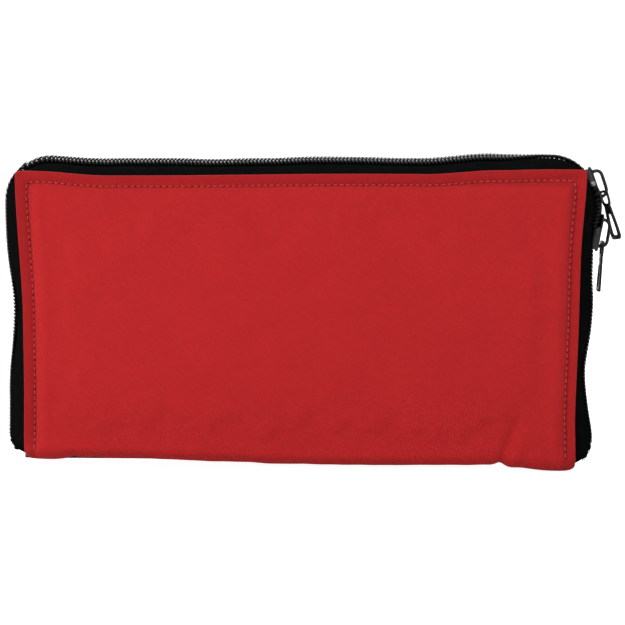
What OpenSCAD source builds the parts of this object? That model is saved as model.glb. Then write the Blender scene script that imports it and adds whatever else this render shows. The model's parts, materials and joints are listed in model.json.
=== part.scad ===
// Zip-round first aid case: two padded halves that fold out from a flat spine, closed by one
// coil zipper with two sliders, with a net pocket in the front half and an elastic organiser
// in the back half. Millimetres, +Z up, front towards -Y, origin under the middle of the spine.

/* [Case] */
// Width of a padded panel
panel_w = 262; // [240:1:300]
// Height of a padded panel above the base
panel_h = 141; // [136:1:160]
// Depth of the closed case over both padded faces
case_depth = 38; // [38:1:46]
// How far the padding stands proud of the panel border
puff = 3; // [2:0.5:4]
// Width of the flat border outside the stitch line
border = 5.5; // [4:0.5:8]
// Thickness of the outer fabric
fabric_t = 0.8; // [0.6:0.1:1]
// Thickness of the foam padding
foam_t = 4.7; // [4:0.1:5]

/* [Zipper] */
// How far the outside of the coil stands beyond the panel edge
chain_out = 6.8; // [4.8:0.1:7.2]
// Radius of the chain's top corners, at the outside of the coil
chain_corner_r = 20.8; // [18:0.1:24]
// Length of a slider
slider_l = 18.4; // [15:0.2:18.4]
// Width of a slider
slider_w = 9.6; // [9:0.2:10]
// Height of the lower slider's middle above the base
lower_slider_z = 113.6; // [80:0.1:113.6]
// Lean of the lower slider, its open end outwards, in degrees
lower_slider_lean = 8; // [0:1:8]
// How far the sliders draw their plates out from the flat chain
slider_slack = 1; // [0:0.1:1]
// Place of the upper slider on the top corner, in degrees up from the side
upper_slider_angle = 20; // [15:1:30]
// Length of a pull, from its crossbar to its tip
pull_l = 23.5; // [20:0.5:26]
// Twist of the upper pull about its own length, in degrees
upper_pull_twist = 28; // [0:1:28]

/* [Supplies] */
// Outside diameter of the roll of adhesive tape
tape_roll_d = 42; // [36:1:44]
// Length of the scissors' blades below their pivot
blade_l = 52; // [40:1:52]
// Width across the wider bandage
bandage_w = 68; // [50:1:68]

/* [Hidden] */
$fn = 48;

// Planes of the front half, as distances from the middle plane of the case
face_y = case_depth / 2;
border_y = face_y - puff;
foam_out_y = face_y - fabric_t - 0.1;
foam_in_y = foam_out_y - foam_t;
lining_t = 0.6;
lining_y = foam_in_y - 0.1;
inside_y = lining_y - lining_t;
gap = 0.2;

// Spine stack, above the base
spine_foam_t = 3;
spine_lining_z = fabric_t + spine_foam_t;
half_bottom = fabric_t + gap;
foam_bottom = spine_lining_z + lining_t + 0.6;

// Chain section: distances outside the panel edge, and half widths either side of the middle
tape_t = 0.8;
rail_in = chain_out - 1.6;
rail_out = chain_out - 0.4;
tape_out = rail_in - gap;
tape_in = tape_out - tape_t;
rail_w = 2.4;
chain_gap = 0.5;
seam_allowance = 4.5;
chain_bottom = 10;
bottom_r = 4;
corner_c = chain_corner_r - chain_out;
chain_end_x = panel_w / 2 - 4;

// Slider section
plate_t = 1.1;
plate_out = chain_out - 0.1 + slider_slack;
plate_in = tape_in - 2.4 - slider_slack;
flange_t = 1.1;
post_t = 0.6;
bridge_w = 2;
bridge_l = 12.6;
bridge_h = 4.8;
bridge_bar = 1.2;
bar_r = 0.55;
bar_play = 0.4;
pivot_s = bridge_l / 2 - bridge_bar - bar_r - bar_play;
pivot_n = plate_out + plate_t + (bridge_h - bridge_bar) / 2;
upper_pivot_n = pivot_n + 0.3;
lower_pull_lean = 3;
upper_pull_angle = 18;

// Scissors, drawn in the back half
pivot_x = -92;
pivot_z = 66;
blade_t = 1.5;
fixed_y = inside_y - 2.2 - blade_t;
moving_y = fixed_y - gap - blade_t;
ring_offset = 14;
ring_rise = 38;

black = "#1a1a1c";
red = "#b3262b";

// ---- Helpers ----

// Points of an arc about (cx, cz)
function arc(cx, cz, r, from, to, steps = 8) =
    [for (i = [0:steps]) let (a = from + (to - from) * i / steps) [cx + r * cos(a), cz + r * sin(a)]];

// Rectangle with its own radius at the top and at the bottom corners
function round_rect(x0, x1, z0, z1, top_r, low_r) = concat(
    arc(x1 - top_r, z1 - top_r, top_r, 0, 90),
    arc(x0 + top_r, z1 - top_r, top_r, 90, 180),
    arc(x0 + low_r, z0 + low_r, low_r, 180, 270),
    arc(x1 - low_r, z0 + low_r, low_r, 270, 360));

// Outline parallel to the chain, n beyond the panel edge
function chain_outline(n) = round_rect(
    -panel_w / 2 - n, panel_w / 2 + n, chain_bottom - n, panel_h + n, corner_c + n, max(bottom_r + n, 1));

// Gives a flat outline in X and Z a thickness from y0 to y1
module slab(y0, y1) {
    translate([0, y1, 0]) rotate([90, 0, 0]) linear_extrude(y1 - y0) children();
}

// Block with rounded corners as seen from the front
module block(x0, x1, z0, z1, y0, y1, r = 2) {
    slab(y0, y1) polygon(round_rect(x0, x1, z0, z1, r, r));
}

// Roll with its axis along X, flattened so that it is wider than it is deep
module flat_roll(x0, x1, z0, z1, y0, y1) {
    r = (y1 - y0) / 2;
    y = (y0 + y1) / 2;
    translate([x0, 0, 0]) rotate([90, 0, 90]) linear_extrude(x1 - x0)
        polygon(concat(arc(y, z1 - r, r, 0, 180, 12), arc(y, z0 + r, r, 180, 360, 12)));
}

// U-shaped strap over something, with its feet on the lining of the back half
module strap(x0, x1, z0, z1, top_y) {
    t = 0.9;
    difference() {
        block(x0, x1, z0, z1, top_y - t, inside_y - 0.05, 0.5);
        translate([x0 + t, top_y, z0 - 1]) cube([x1 - x0 - 2 * t, inside_y - top_y + 1, z1 - z0 + 2]);
    }
}

// ---- Padded halves, drawn at the front ----

module padded_outline(shrink) {
    x = panel_w / 2 - border - shrink;
    polygon(round_rect(-x, x, half_bottom + shrink, panel_h - border - shrink, 7, 2));
}

module panel_outline() {
    x = panel_w / 2;
    polygon(round_rect(-x, x, half_bottom, panel_h, 3, 3));
}

module cover() {
    color(red) difference() {
        union() {
            slab(-face_y, -border_y + fabric_t) padded_outline(0);
            slab(-border_y, -border_y + fabric_t) panel_outline();
        }
        slab(-face_y + fabric_t, 0) padded_outline(fabric_t);
    }
}

module padding() {
    x = panel_w / 2 - border - fabric_t - gap;
    color("#d8d2c4") block(-x, x, foam_bottom, panel_h - border - fabric_t - gap,
        -foam_out_y, -foam_in_y, 7);
}

module lining() {
    x = panel_w / 2 - 2;
    color("#2b2b2e") block(-x, x, foam_bottom, panel_h - 2, -lining_y, -inside_y, 12);
}

module seam_thread() {
    thread = 0.5;
    inset = border - 0.9;
    color("#8c1d22") slab(-border_y - thread, -border_y) difference() {
        frame_outline(inset);
        frame_outline(inset + thread);
        translate([-panel_w, -10]) square([2 * panel_w, half_bottom + 12]);
    }
}

module frame_outline(inset) {
    x = panel_w / 2 - inset;
    polygon(round_rect(-x, x, -2, panel_h - inset, 8 - inset, 1));
}

// What lies below the chain's ends, between its two bottom corners
module below_chain() {
    translate([-chain_end_x, -10]) square([2 * chain_end_x, 10 + chain_bottom + bottom_r]);
}

module chain_band(n0, n1) {
    difference() {
        polygon(chain_outline(n1));
        polygon(chain_outline(n0));
        below_chain();
    }
}

module zipper_tape() {
    sewn_y = border_y - fabric_t - 0.1;
    color(black) {
        slab(-sewn_y, -chain_gap) chain_band(tape_in, tape_out);
        slab(-sewn_y, -sewn_y + tape_t) difference() {
            chain_band(-seam_allowance, tape_out - 0.1);
            padded_gap();
        }
    }
}

// Room for the padding inside the tape's sewn edge
module padded_gap() {
    x = panel_w / 2 - border + 0.1;
    polygon(round_rect(-x, x, -5, panel_h - border + 0.1, 6, 1));
}

module zipper_coil() {
    color("#0f0f11") slab(-chain_gap - rail_w, -chain_gap) chain_band(rail_in, rail_out);
}

// ---- Sliders: chain along Z, outside of the chain towards +X, open end at the top ----

function slider_plan() = concat(
    arc(slider_w / 2 - 2.4, slider_l / 2 - 2.4, 2.4, 0, 90, 6),
    arc(-slider_w / 2 + 2.4, slider_l / 2 - 2.4, 2.4, 90, 180, 6),
    arc(-slider_w / 2 + 2, -slider_l / 2 + 1.5, 1.5, 180, 270, 5),
    arc(slider_w / 2 - 2, -slider_l / 2 + 1.5, 1.5, 270, 360, 5));

module slider_plate(n0, n1) {
    translate([n0, 0, 0]) rotate([90, 0, 90]) linear_extrude(n1 - n0) polygon(slider_plan());
}

module bridge() {
    n = plate_out + plate_t - 0.2;
    translate([0, bridge_w / 2, 0]) rotate([90, 0, 0]) linear_extrude(bridge_w) difference() {
        polygon(round_rect(n - 4, n + bridge_h + 0.2, -bridge_l / 2, bridge_l / 2, 3, 3));
        polygon(round_rect(n + 0.2, n + bridge_h + 0.2 - bridge_bar,
            -bridge_l / 2 + bridge_bar, bridge_l / 2 - bridge_bar, 0.8, 0.8));
        translate([n - 6, -bridge_l]) square([6, 2 * bridge_l]);
    }
}

module slider() {
    flange_y = rail_w + chain_gap + 0.4;
    color(black) {
        slider_plate(plate_out, plate_out + plate_t);
        slider_plate(plate_in - plate_t, plate_in);
        bridge();
        translate([plate_in - 0.2, -post_t / 2, 1])
            cube([plate_out - plate_in + 0.4, post_t, slider_l / 2 - 2.5]);
        for (side = [-1, 1])
            translate([rail_in - 0.1, side * (flange_y + flange_t / 2) - flange_t / 2, -slider_l / 2 + 2.5])
                cube([plate_out - rail_in + 0.3, flange_t, slider_l / 2]);
    }
}

// ---- Pulls: crossbar on Y through the origin, tip towards -Z ----

module pull() {
    eye_l = 4.6;
    arm_y = 2.5;
    arm_w = 0.6;
    tab_t = 1.2;
    slot_l = 10;
    color(black) {
        rotate([90, 0, 0]) cylinder(r = bar_r, h = 2 * arm_y + arm_w, center = true);
        for (side = [-1, 1])
            translate([-tab_t / 2, side * arm_y - arm_w / 2, -eye_l - 1])
                cube([tab_t, arm_w, eye_l + 1]);
        translate([-tab_t / 2, 0, 0]) rotate([90, 0, 90]) linear_extrude(tab_t) difference() {
            polygon(concat(
                [[arm_y + arm_w / 2, -eye_l]],
                [[-arm_y - arm_w / 2, -eye_l]],
                arc(-1.4, -pull_l + 2, 2, 180, 270, 6),
                arc(1.4, -pull_l + 2, 2, 270, 360, 6)));
            polygon(round_rect(-1.6, 1.6, -pull_l + 1.7, -pull_l + 1.7 + slot_l, 1.5, 1.5));
        }
        translate([0, 0, -pull_l + 0.7]) rotate([90, 0, 0])
            cylinder(r = 0.8, h = 3.6, center = true);
    }
}

// The lower slider leans about the bottom of its closed end
module at_lower_slider() {
    translate([panel_w / 2, 0, lower_slider_z - slider_l / 2]) rotate([0, lower_slider_lean, 0])
        translate([0, 0, slider_l / 2]) children();
}

module at_upper_slider() {
    translate([panel_w / 2 - corner_c, 0, panel_h - corner_c])
        rotate([0, -upper_slider_angle, 0])
            translate([corner_c, 0, 0]) mirror([0, 0, 1]) children();
}

module lower_pull() {
    at_lower_slider() translate([pivot_n, 0, -pivot_s])
        rotate([0, lower_pull_lean - lower_slider_lean, 0]) pull();
}

module upper_pull() {
    a = upper_slider_angle;
    r = corner_c + upper_pivot_n;
    translate([
        panel_w / 2 - corner_c + r * cos(a) + pivot_s * sin(a), 0,
        panel_h - corner_c + r * sin(a) - pivot_s * cos(a)
    ]) rotate([0, -upper_pull_angle, 0]) rotate([0, 0, upper_pull_twist]) pull();
}

// ---- Front half: net pocket and what it holds ----

net_y = 5.2;
net_x = panel_w / 2 - 13;
net_top = 86;
net_t = 0.5;

module net_pocket() {
    color("#3a3a3d") difference() {
        block(-net_x, net_x, 9, net_top, -inside_y + 0.05, -net_y, 4);
        block(-net_x + net_t, net_x - net_t, 9 + net_t, net_top + 9, -inside_y, -net_y - net_t, 4);
    }
}

module net_pocket_binding() {
    color(black) block(-net_x, net_x, net_top + 0.1, net_top + 6, -net_y - 0.9, -net_y + 0.5, 0.6);
}

module gauze_packs() {
    color("#eef0f0") for (x = [-108, -28])
        block(x, x + 74, 12, 80, -inside_y + 0.3, -net_y - net_t - 0.5, 2);
}

module plaster_strips() {
    color("#d9b48f") for (i = [0:4])
        block(52 + i * 11.4, 62 + i * 11.4, 14, 78, -inside_y + 0.3, -inside_y + 2.8, 1.5);
}

module wipe_sachets() {
    color("#dfe6ea") for (i = [0:1])
        block(54 + i * 28, 80 + i * 28, 20, 66, -inside_y + 3.1, -inside_y + 6, 1);
}

module glove_pack() {
    color("#5d8fc4") block(8, 108, 94, 128, -inside_y + 0.3, -inside_y + 7.5, 5);
}

module foil_blanket() {
    color("#c8ccd0") block(-108, -8, 95, 127, -inside_y + 0.3, -inside_y + 8, 4);
}

// Elastic bands over the blanket and the gloves
module front_elastic_bands() {
    t = 0.9;
    color(black) for (x = [-76, 38])
        difference() {
            block(x, x + 22, 92.4, 131, -inside_y + 0.05, -inside_y + 8.2 + t, 0.5);
            translate([x - 1, -inside_y - 1, 92.4 + t]) cube([24, 9.2, 38.6 - 2 * t]);
        }
}

// ---- Back half: elastic organiser and what it holds ----

roll_y = -2.8;

module wide_bandage() {
    color("#f2ead9") flat_roll(-22, -22 + bandage_w, 12, 46, roll_y, inside_y - 0.4);
}

module narrow_bandage() {
    color("#f2ead9") flat_roll(-22, 30, 62, 94, roll_y, inside_y - 0.4);
}

// Small clips that hold each bandage's loose end
module bandage_clips() {
    color("#c9ccd0") for (place = [[14, 29], [6, 78]])
        block(place[0], place[0] + 14, place[1] - 2, place[1] + 2, roll_y - 0.7, roll_y - 0.1, 1);
}

module adhesive_tape() {
    color("#e9dcc6") at_tape_roll() difference() {
        cylinder(d = tape_roll_d, h = 11, center = true);
        cylinder(d = 26.2, h = 12, center = true);
    }
}

module tape_core() {
    color("#f4f4f2") at_tape_roll() difference() {
        cylinder(d = 26, h = 11.4, center = true);
        cylinder(d = 23, h = 12, center = true);
    }
}

module at_tape_roll() {
    translate([84, inside_y - 6.1, 104]) rotate([90, 0, 0]) children();
}

module triangular_bandage() {
    color("#f6f4ee") block(60, 116, 12, 72, 2.6, inside_y - 0.4, 5);
}

module tweezers() {
    leg_t = 1.2;
    color("#c9ccd0") for (side = [-1, 1])
        translate([-40, inside_y - 4.5, 112]) rotate([0, side * 3, 0]) hull() {
            translate([side * 0.4 - leg_t / 2, -2.5, -8]) cube([leg_t, 5, 8]);
            translate([-leg_t / 2, -1, -86]) cube([leg_t, 2, 1]);
        }
    color("#c9ccd0") block(-42.2, -37.8, 103, 114, inside_y - 7, inside_y - 2, 1.5);
}

// Safety pins: two legs, a coil at one end and a cap at the other, lying against the lining
module safety_pins() {
    pin_l = 28;
    color("#d0c48c") for (i = [0:2])
        translate([-16 + i * 22, inside_y - 1.6, 108 + (i % 2) * 8]) {
            for (side = [-1, 1])
                translate([0, 0, side * 2.2]) rotate([0, 90, 0]) cylinder(d = 0.8, h = pin_l - 8);
            rotate([90, 0, 0]) difference() {
                cylinder(r = 2.6, h = 1, center = true);
                cylinder(r = 1.6, h = 2, center = true);
            }
            translate([pin_l - 9, -0.9, -3]) cube([4, 1.8, 6]);
        }
}

// Straps of the organiser, each sewn to the lining either side of what it holds
module elastic_loops() {
    band_h = 18;
    ring_x = pivot_x - ring_offset;
    color(black) {
        strap(-24, 48, 20, 20 + band_h, roll_y - 1);
        strap(-24, 32, 70, 70 + band_h, roll_y - 1);
        strap(58, 118, 33, 33 + band_h, 2.4);
        strap(-46.5, -33.5, 84, 84 + 12, inside_y - 8.6);
        strap(-46.5, -33.5, 40, 40 + 12, inside_y - 8.6);
        strap(61, 76.5, 98, 110, 0.5);
        strap(ring_x - 16.6, ring_x - 5, pivot_z + ring_rise - 4, pivot_z + ring_rise + 4, moving_y - 2.8);
    }
}

// ---- Scissors: each half has a blade, a shank and a ring-shaped grip ----

module at_pivot() {
    translate([pivot_x, 0, pivot_z]) children();
}

// Blade and shank of one half; side is +1 when its grip is on the right
module scissor_steel(side, y0) {
    color("#c4c8cc") difference() {
        slab(y0, y0 + blade_t) polygon(concat(
            [[side * 4.5, 3]],
            [[side * (ring_offset - 3.6), ring_rise - 13.5]],
            [[side * (ring_offset - 7.6), ring_rise - 12]],
            [[-side * 5.5, 4]],
            [[-side * 5.5, -6]],
            [[-side * 3.2, -blade_l + 3]],
            [[-side * 1.8, -blade_l]],
            [[side * 0.6, -blade_l + 1]],
            [[side * 4.2, -5]]));
        translate([0, y0 - 1, 0]) rotate([-90, 0, 0]) cylinder(r = 1.6, h = blade_t + 2);
    }
}

module scissor_grip(side, y0) {
    lap = 0.1;
    depth = 5;
    color("#b3262b") translate([side * ring_offset, 0, ring_rise]) difference() {
        slab(fixed_y - 3.1, fixed_y - 3.1 + depth)
            polygon(round_rect(-13, 13, -16.5, 17, 12.9, 12.9));
        slab(fixed_y - 9, fixed_y + 9)
            polygon(round_rect(-8.6, 8.6, -12, 12.6, 8.5, 8.5));
        translate([-side * ring_offset, 0, -ring_rise]) grow_steel(side, y0, lap);
    }
}

// Socket in a grip for the end of its shank
module grow_steel(side, y0, lap) {
    slab(y0 - lap, y0 + blade_t + lap) polygon([
        [side * 4.4, 3], [side * (ring_offset - 3.4), ring_rise - 13.3],
        [side * (ring_offset - 7.8), ring_rise - 11.8], [-side * 5.7, 4]]);
}

module scissors_pivot() {
    color("#a9adb2") at_pivot() {
        translate([0, moving_y - 1.1, 0]) rotate([-90, 0, 0]) cylinder(r = 3.2, h = 1);
        translate([0, moving_y - 0.2, 0]) rotate([-90, 0, 0]) cylinder(r = 1.55, h = 2 * blade_t + 0.6);
        translate([0, fixed_y + blade_t + 0.1, 0]) rotate([-90, 0, 0]) cylinder(r = 2.6, h = 0.8);
    }
}

// ---- Spine ----

module spine_slab(half_depth, z0, z1, end_gap) {
    x = panel_w / 2 - end_gap;
    translate([-x, -half_depth, z0]) cube([2 * x, 2 * half_depth, z1 - z0]);
}

module to_back() {
    mirror([0, 1, 0]) children();
}

color(red) spine_slab(face_y, 0, fabric_t, 0.5);  // spine_cover
color("#d8d2c4") spine_slab(foam_in_y - 0.5, fabric_t + 0.05, spine_lining_z, 8);  // spine_padding
color("#2b2b2e") spine_slab(foam_in_y - 0.2, spine_lining_z + 0.05, spine_lining_z + lining_t, 7);  // spine_lining
cover();  // front_cover
padding();  // front_padding
lining();  // front_lining
seam_thread();  // front_seam_thread
zipper_tape();  // front_zipper_tape
zipper_coil();  // front_zipper_coil
to_back() cover();  // back_cover
to_back() padding();  // back_padding
to_back() lining();  // back_lining
to_back() seam_thread();  // back_seam_thread
to_back() zipper_tape();  // back_zipper_tape
to_back() zipper_coil();  // back_zipper_coil
at_upper_slider() slider();  // upper_slider
upper_pull();
at_lower_slider() slider();  // lower_slider
lower_pull();
net_pocket();
net_pocket_binding();
front_elastic_bands();
gauze_packs();
plaster_strips();
wipe_sachets();
glove_pack();
foil_blanket();
elastic_loops();
wide_bandage();
narrow_bandage();
bandage_clips();
adhesive_tape();
tape_core();
triangular_bandage();
tweezers();
safety_pins();
at_pivot() scissor_steel(-1, fixed_y);  // scissors_fixed_blade
at_pivot() scissor_grip(-1, fixed_y);  // scissors_fixed_grip
at_pivot() scissor_steel(1, moving_y);  // scissors_moving_blade
at_pivot() scissor_grip(1, moving_y);  // scissors_moving_grip
scissors_pivot();
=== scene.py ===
import json
import math

import bmesh
import bpy
import numpy as np
from mathutils import Matrix, Vector


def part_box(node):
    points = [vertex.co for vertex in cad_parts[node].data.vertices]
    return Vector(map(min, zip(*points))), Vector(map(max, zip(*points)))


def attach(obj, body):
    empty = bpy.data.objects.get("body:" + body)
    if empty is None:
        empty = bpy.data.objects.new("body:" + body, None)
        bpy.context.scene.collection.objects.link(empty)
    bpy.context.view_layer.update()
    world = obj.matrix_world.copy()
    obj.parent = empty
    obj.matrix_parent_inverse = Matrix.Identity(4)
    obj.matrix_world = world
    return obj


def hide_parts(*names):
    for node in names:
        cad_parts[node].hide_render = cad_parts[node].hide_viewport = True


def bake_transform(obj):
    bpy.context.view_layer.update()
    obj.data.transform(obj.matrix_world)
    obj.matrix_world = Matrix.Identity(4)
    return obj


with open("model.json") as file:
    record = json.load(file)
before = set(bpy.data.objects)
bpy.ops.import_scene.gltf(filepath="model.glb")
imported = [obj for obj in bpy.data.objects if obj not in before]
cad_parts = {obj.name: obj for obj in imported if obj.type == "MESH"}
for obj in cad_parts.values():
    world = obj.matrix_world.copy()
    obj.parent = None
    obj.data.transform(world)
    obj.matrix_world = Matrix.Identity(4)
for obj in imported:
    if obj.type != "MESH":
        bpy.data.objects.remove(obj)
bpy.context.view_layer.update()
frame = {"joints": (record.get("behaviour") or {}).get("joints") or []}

# ---------------------------------------------------------------- sizes, in mm

MM = 0.001
FRONT, BACK = -1, 1                     # the two halves, by which way they face along y
SIDE_NAME = {FRONT: "front", BACK: "back"}

# panels
cover_lo, cover_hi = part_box("front_cover")
HALF_W = cover_hi.x / MM
TOP = cover_hi.z / MM
FACE = -cover_lo.y / MM                 # how far the padded face stands from the middle of the case
PUFF = 3.0                              # of which this much is padding
BORDER = FACE - PUFF
LINING_Y = -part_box("front_lining")[1].y / MM
FOLD_R = 5.0                            # fold at the bottom of a panel
UNDER_Z = PUFF
# lengths of the outer fabric: down the face, round the fold and underneath
FACE_LEN = TOP - UNDER_Z - FOLD_R
FOLD_LEN = FOLD_R * math.pi / 2
FLAT_LEN = BORDER - FOLD_R
SIM_FRAMES = 20
SWELL_LIMIT = 0.55                      # most that the simulated padding may add or take away

# stitching
STITCH_IN = 4.9                         # from the edge of the panel
STITCH_PITCH = 2.9
STITCH_R = 3.1                          # corners of the stitched line

# zipper; its distances outwards are from the edge of the panel
COIL_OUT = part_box("front_zipper_coil")[1].x / MM - HALF_W
COIL_MID = COIL_OUT - 0.62
TAPE_OUT = COIL_OUT - 1.6
PITCH = 1.76                            # from loop to loop of one coil
CORD_Y = -1.9                           # filler cord inside the loops
CORNER_C = 14.0                         # the chain's top corners
BOTTOM_R = 5.0                          # and its bottom ones
CHAIN_BOTTOM = 7.0
CHAIN_STEP = 0.6                        # between the points that the tape and cord are built on

# sliders and pulls
SLACK = 1.0                             # room between a slider's plates and the chain
OVER = COIL_OUT + 0.35 + SLACK          # undersides of a slider's outer and inner plates
UNDER = COIL_OUT - 5.6 - SLACK
SLIDER_L = 18.4
SLIDER_ANGLE = math.radians(20)         # the upper slider's place round the corner
LOWER_END = 113.6 - SLIDER_L / 2        # bottom end of the lower slider
LOWER_LEAN = math.radians(8)
BRIDGE_L = 12.6
PULL_L = 23.5

# contents
PLASTERS, PLASTER_GAP = 5, 1.4
NET_CELL = 1.9


# ---------------------------------------------------------------- small maths

def smooth(t):
    """0 up to t = 0, 1 from t = 1, and an even rise between."""
    t = np.clip(t, 0, 1)
    return t * t * (3 - 2 * t)


def ripple(u, v, size, seed):
    """Smooth, repeatable unevenness of about -1 to 1, with features of the given size."""
    r = np.random.default_rng(seed)
    out = np.zeros(np.broadcast(u, v).shape)
    for k in range(2):
        gain = 1.9 ** -k
        for _ in range(5):
            turn, phase = r.uniform(0, 2 * math.pi, 2)
            f = 2 * math.pi / (size * r.uniform(0.7, 1.5)) * 1.9 ** k
            out += gain * np.sin((u * math.cos(turn) + v * math.sin(turn)) * f + phase)
    return out / 4


def sag(p):
    """Points of the true case, moved to where the worn one has them.

    Its top dips between the corners and drops towards the far end, it rests on its near end with the rest a
    little off the floor, and its panels narrow downwards. The near end is the one at +X, with the sliders."""
    p = np.array(p, float)
    x, z = p[..., 0].copy(), np.clip(p[..., 2] / TOP, 0, 1.1)
    dip = -2.0 * smooth((HALF_W - np.abs(x) - np.where(x > 0, 40, 8)) / 34)
    ends = -1.5 * smooth((60 - x) / 190) + 0.45 * smooth((x + 60) / 80) + 0.6 * smooth((x - 90) / 25)
    rise = (2.4 * smooth((124 - x) / 26) - 1.6 * smooth((90 - x) / 40) + 2.6 * smooth((20 - x) / 125)
            - 0.9 * smooth((-104 - x) / 14))
    p[..., 2] += smooth(z) * (dip + ends) + (1 - smooth(z / 0.75)) * rise
    on_panel = smooth((HALF_W + 4.5 - np.abs(x)) / 4.5)
    near = -1.8 * smooth((1 - z) / 0.3) - 0.5 * smooth((0.5 - z) / 0.3) + 1.1 * smooth((0.2 - z) / 0.2)
    far = -2.8 * smooth((1 - z) / 0.5) + 0.6 * smooth((0.3 - z) / 0.3)
    taper = np.where(x > 0, near, far)
    p[..., 0] += x / HALF_W * taper * on_panel * smooth(np.abs(x) / 60)
    return p


# ---------------------------------------------------------------- mesh helpers

def join(parts):
    """One mesh from several."""
    verts, faces, n = [], [], 0
    for v, f in parts:
        verts.append(np.asarray(v, float))
        faces += [tuple(i + n for i in face) for face in f]
        n += len(v)
    return np.concatenate(verts), faces


def grid(rows, cols, close_rows=False, close_cols=False, flip=False):
    """Faces between the points of a grid, listed row by row."""
    faces = []
    for i in range(rows if close_rows else rows - 1):
        for j in range(cols if close_cols else cols - 1):
            a, b = i * cols + j, i * cols + (j + 1) % cols
            c, d = (i + 1) % rows * cols + (j + 1) % cols, (i + 1) % rows * cols + j
            faces.append((a, d, c, b) if flip else (a, b, c, d))
    return faces


def shell_faces(rows, cols):
    """Faces of a closed body made of two matching grids of points, and the loop round the first one."""
    n = rows * cols
    front = grid(rows, cols)
    rim = list(range(cols)) + [i * cols + cols - 1 for i in range(1, rows)]
    rim += list(range(n - 2, n - cols - 1, -1)) + [i * cols for i in range(rows - 2, 0, -1)]
    edge = [(a, a + n, b + n, b) for a, b in zip(rim, rim[1:] + rim[:1])]
    return front + [tuple(i + n for i in face[::-1]) for face in front] + edge, rim


def spaced(stops):
    """Numbers from one stop to the next, each stretch cut into its own step."""
    out = [stops[0][0]]
    for (a, step), (b, _) in zip(stops[:-1], stops[1:]):
        n = max(1, int(round(abs(b - a) / step)))
        out += list(a + (b - a) * np.arange(1, n + 1) / n)
    return np.array(out)


def patch(u0, u1, v0, v1, step, rim=1.0):
    """A grid of points with finer rows near its edges."""
    def line(a, b):
        return spaced([(a, rim / 2), (a + rim, step), (b - rim, rim / 2), (b, rim)])
    return np.meshgrid(line(u0, u1), line(v0, v1))


def edge_of(u, v):
    """Distance in from the edge of a patch."""
    return np.minimum(np.minimum(u - u.min(), u.max() - u), np.minimum(v - v.min(), v.max() - v))


def between(u, v, low, high):
    """A closed body between two height fields over the same grid, as (u, v, height) points."""
    flat = [u.ravel(), v.ravel()]
    points = np.vstack([np.column_stack(flat + [np.broadcast_to(h, u.shape).ravel()]) for h in (low, high)])
    return points, shell_faces(*u.shape)[0]


def upright(x, z, low, high):
    """The same, standing in the X-Z plane, from low to high in y."""
    v, f = between(x, z, low, high)
    return v[:, [0, 2, 1]], f


def on_side(v, side):
    """Points of the front half as they are, or mirrored for the back half."""
    return np.asarray(v) * (1, -side, 1)


def over_fold(side):
    """Arguments of a blend for cloth that runs from the spine round the fold and up a half; no blend is made
    from them.
    """
    return "spine", SIDE_NAME[side] + "_half", (0, side * 11 * MM, 0), (0, side * 19 * MM, 8 * MM)


def piece(name, mesh, material, bodies, replaces=(), smooth_faces=True, modifiers=(), closed=True):
    """Builds one named part from (points in mm, faces).

    bodies is the body that it rides on; given the arguments of a blend between two bodies, it makes no blend
    and leaves the part unattached in place."""
    verts, faces = mesh
    me = bpy.data.meshes.new(name)
    me.from_pydata((np.asarray(verts, float) * MM).tolist(), [], [list(f) for f in faces])
    me.validate()
    obj = bpy.data.objects.new(name, me)
    bpy.context.scene.collection.objects.link(obj)
    if closed:
        face_out(me)
    for make in modifiers:
        make(obj)
    if modifiers:
        apply_modifiers(obj)
    obj.data.polygons.foreach_set("use_smooth", [smooth_faces] * len(obj.data.polygons))
    obj.data.materials.clear()
    obj.data.materials.append(material)
    if replaces:
        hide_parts(*replaces)
    if isinstance(bodies, str):
        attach(obj, bodies)
    else:
        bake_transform(obj)
    return obj


def face_out(me):
    """Turns a closed mesh's faces outwards."""
    bm = bmesh.new()
    bm.from_mesh(me)
    bmesh.ops.recalc_face_normals(bm, faces=bm.faces)
    bm.to_mesh(me)
    bm.free()


def apply_modifiers(obj):
    """Leaves the modifiers' result as the object's own mesh."""
    dg = bpy.context.evaluated_depsgraph_get()
    new = bpy.data.meshes.new_from_object(obj.evaluated_get(dg))
    obj.modifiers.clear()
    old, obj.data = obj.data, new
    new.name = obj.name
    bpy.data.meshes.remove(old)


def thicken(mm, bevel=0.0, offset=-1):
    """Gives a sheet its thickness, with its edges rounded off by bevel."""
    def make(obj):
        m = obj.modifiers.new("thick", "SOLIDIFY")
        m.thickness, m.offset = mm * MM, offset
        if bevel:
            b = obj.modifiers.new("edge", "BEVEL")
            b.width, b.segments, b.limit_method = bevel * MM, 2, "ANGLE"
            b.angle_limit = math.radians(55)
    return make


def tube(path, radius, sides=8, closed=False, flat=1.0, side_axis=(0, 1, 0)):
    """A rod along a path. flat is its width across side_axis over its other width."""
    path = np.asarray(path, float)
    n = len(path)
    radius = np.broadcast_to(np.asarray(radius, float), (n,))
    if closed:
        t = np.roll(path, -1, 0) - np.roll(path, 1, 0)
    else:
        t = np.gradient(path, axis=0)
    t /= np.linalg.norm(t, axis=1)[:, None] + 1e-12
    ref = np.asarray(side_axis, float)
    a = ref - (t @ ref)[:, None] * t
    a /= np.linalg.norm(a, axis=1)[:, None] + 1e-12
    b = np.cross(t, a)
    ang = np.arange(sides) / sides * 2 * math.pi
    ring = (np.cos(ang)[None, :, None] * a[:, None, :] * flat + np.sin(ang)[None, :, None] * b[:, None, :])
    v = (path[:, None, :] + ring * radius[:, None, None]).reshape(-1, 3)
    f = grid(n, sides, close_rows=closed, close_cols=True)
    if not closed:
        f += [tuple(range(sides))[::-1], tuple((n - 1) * sides + i for i in range(sides))]
    return v, f


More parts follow.
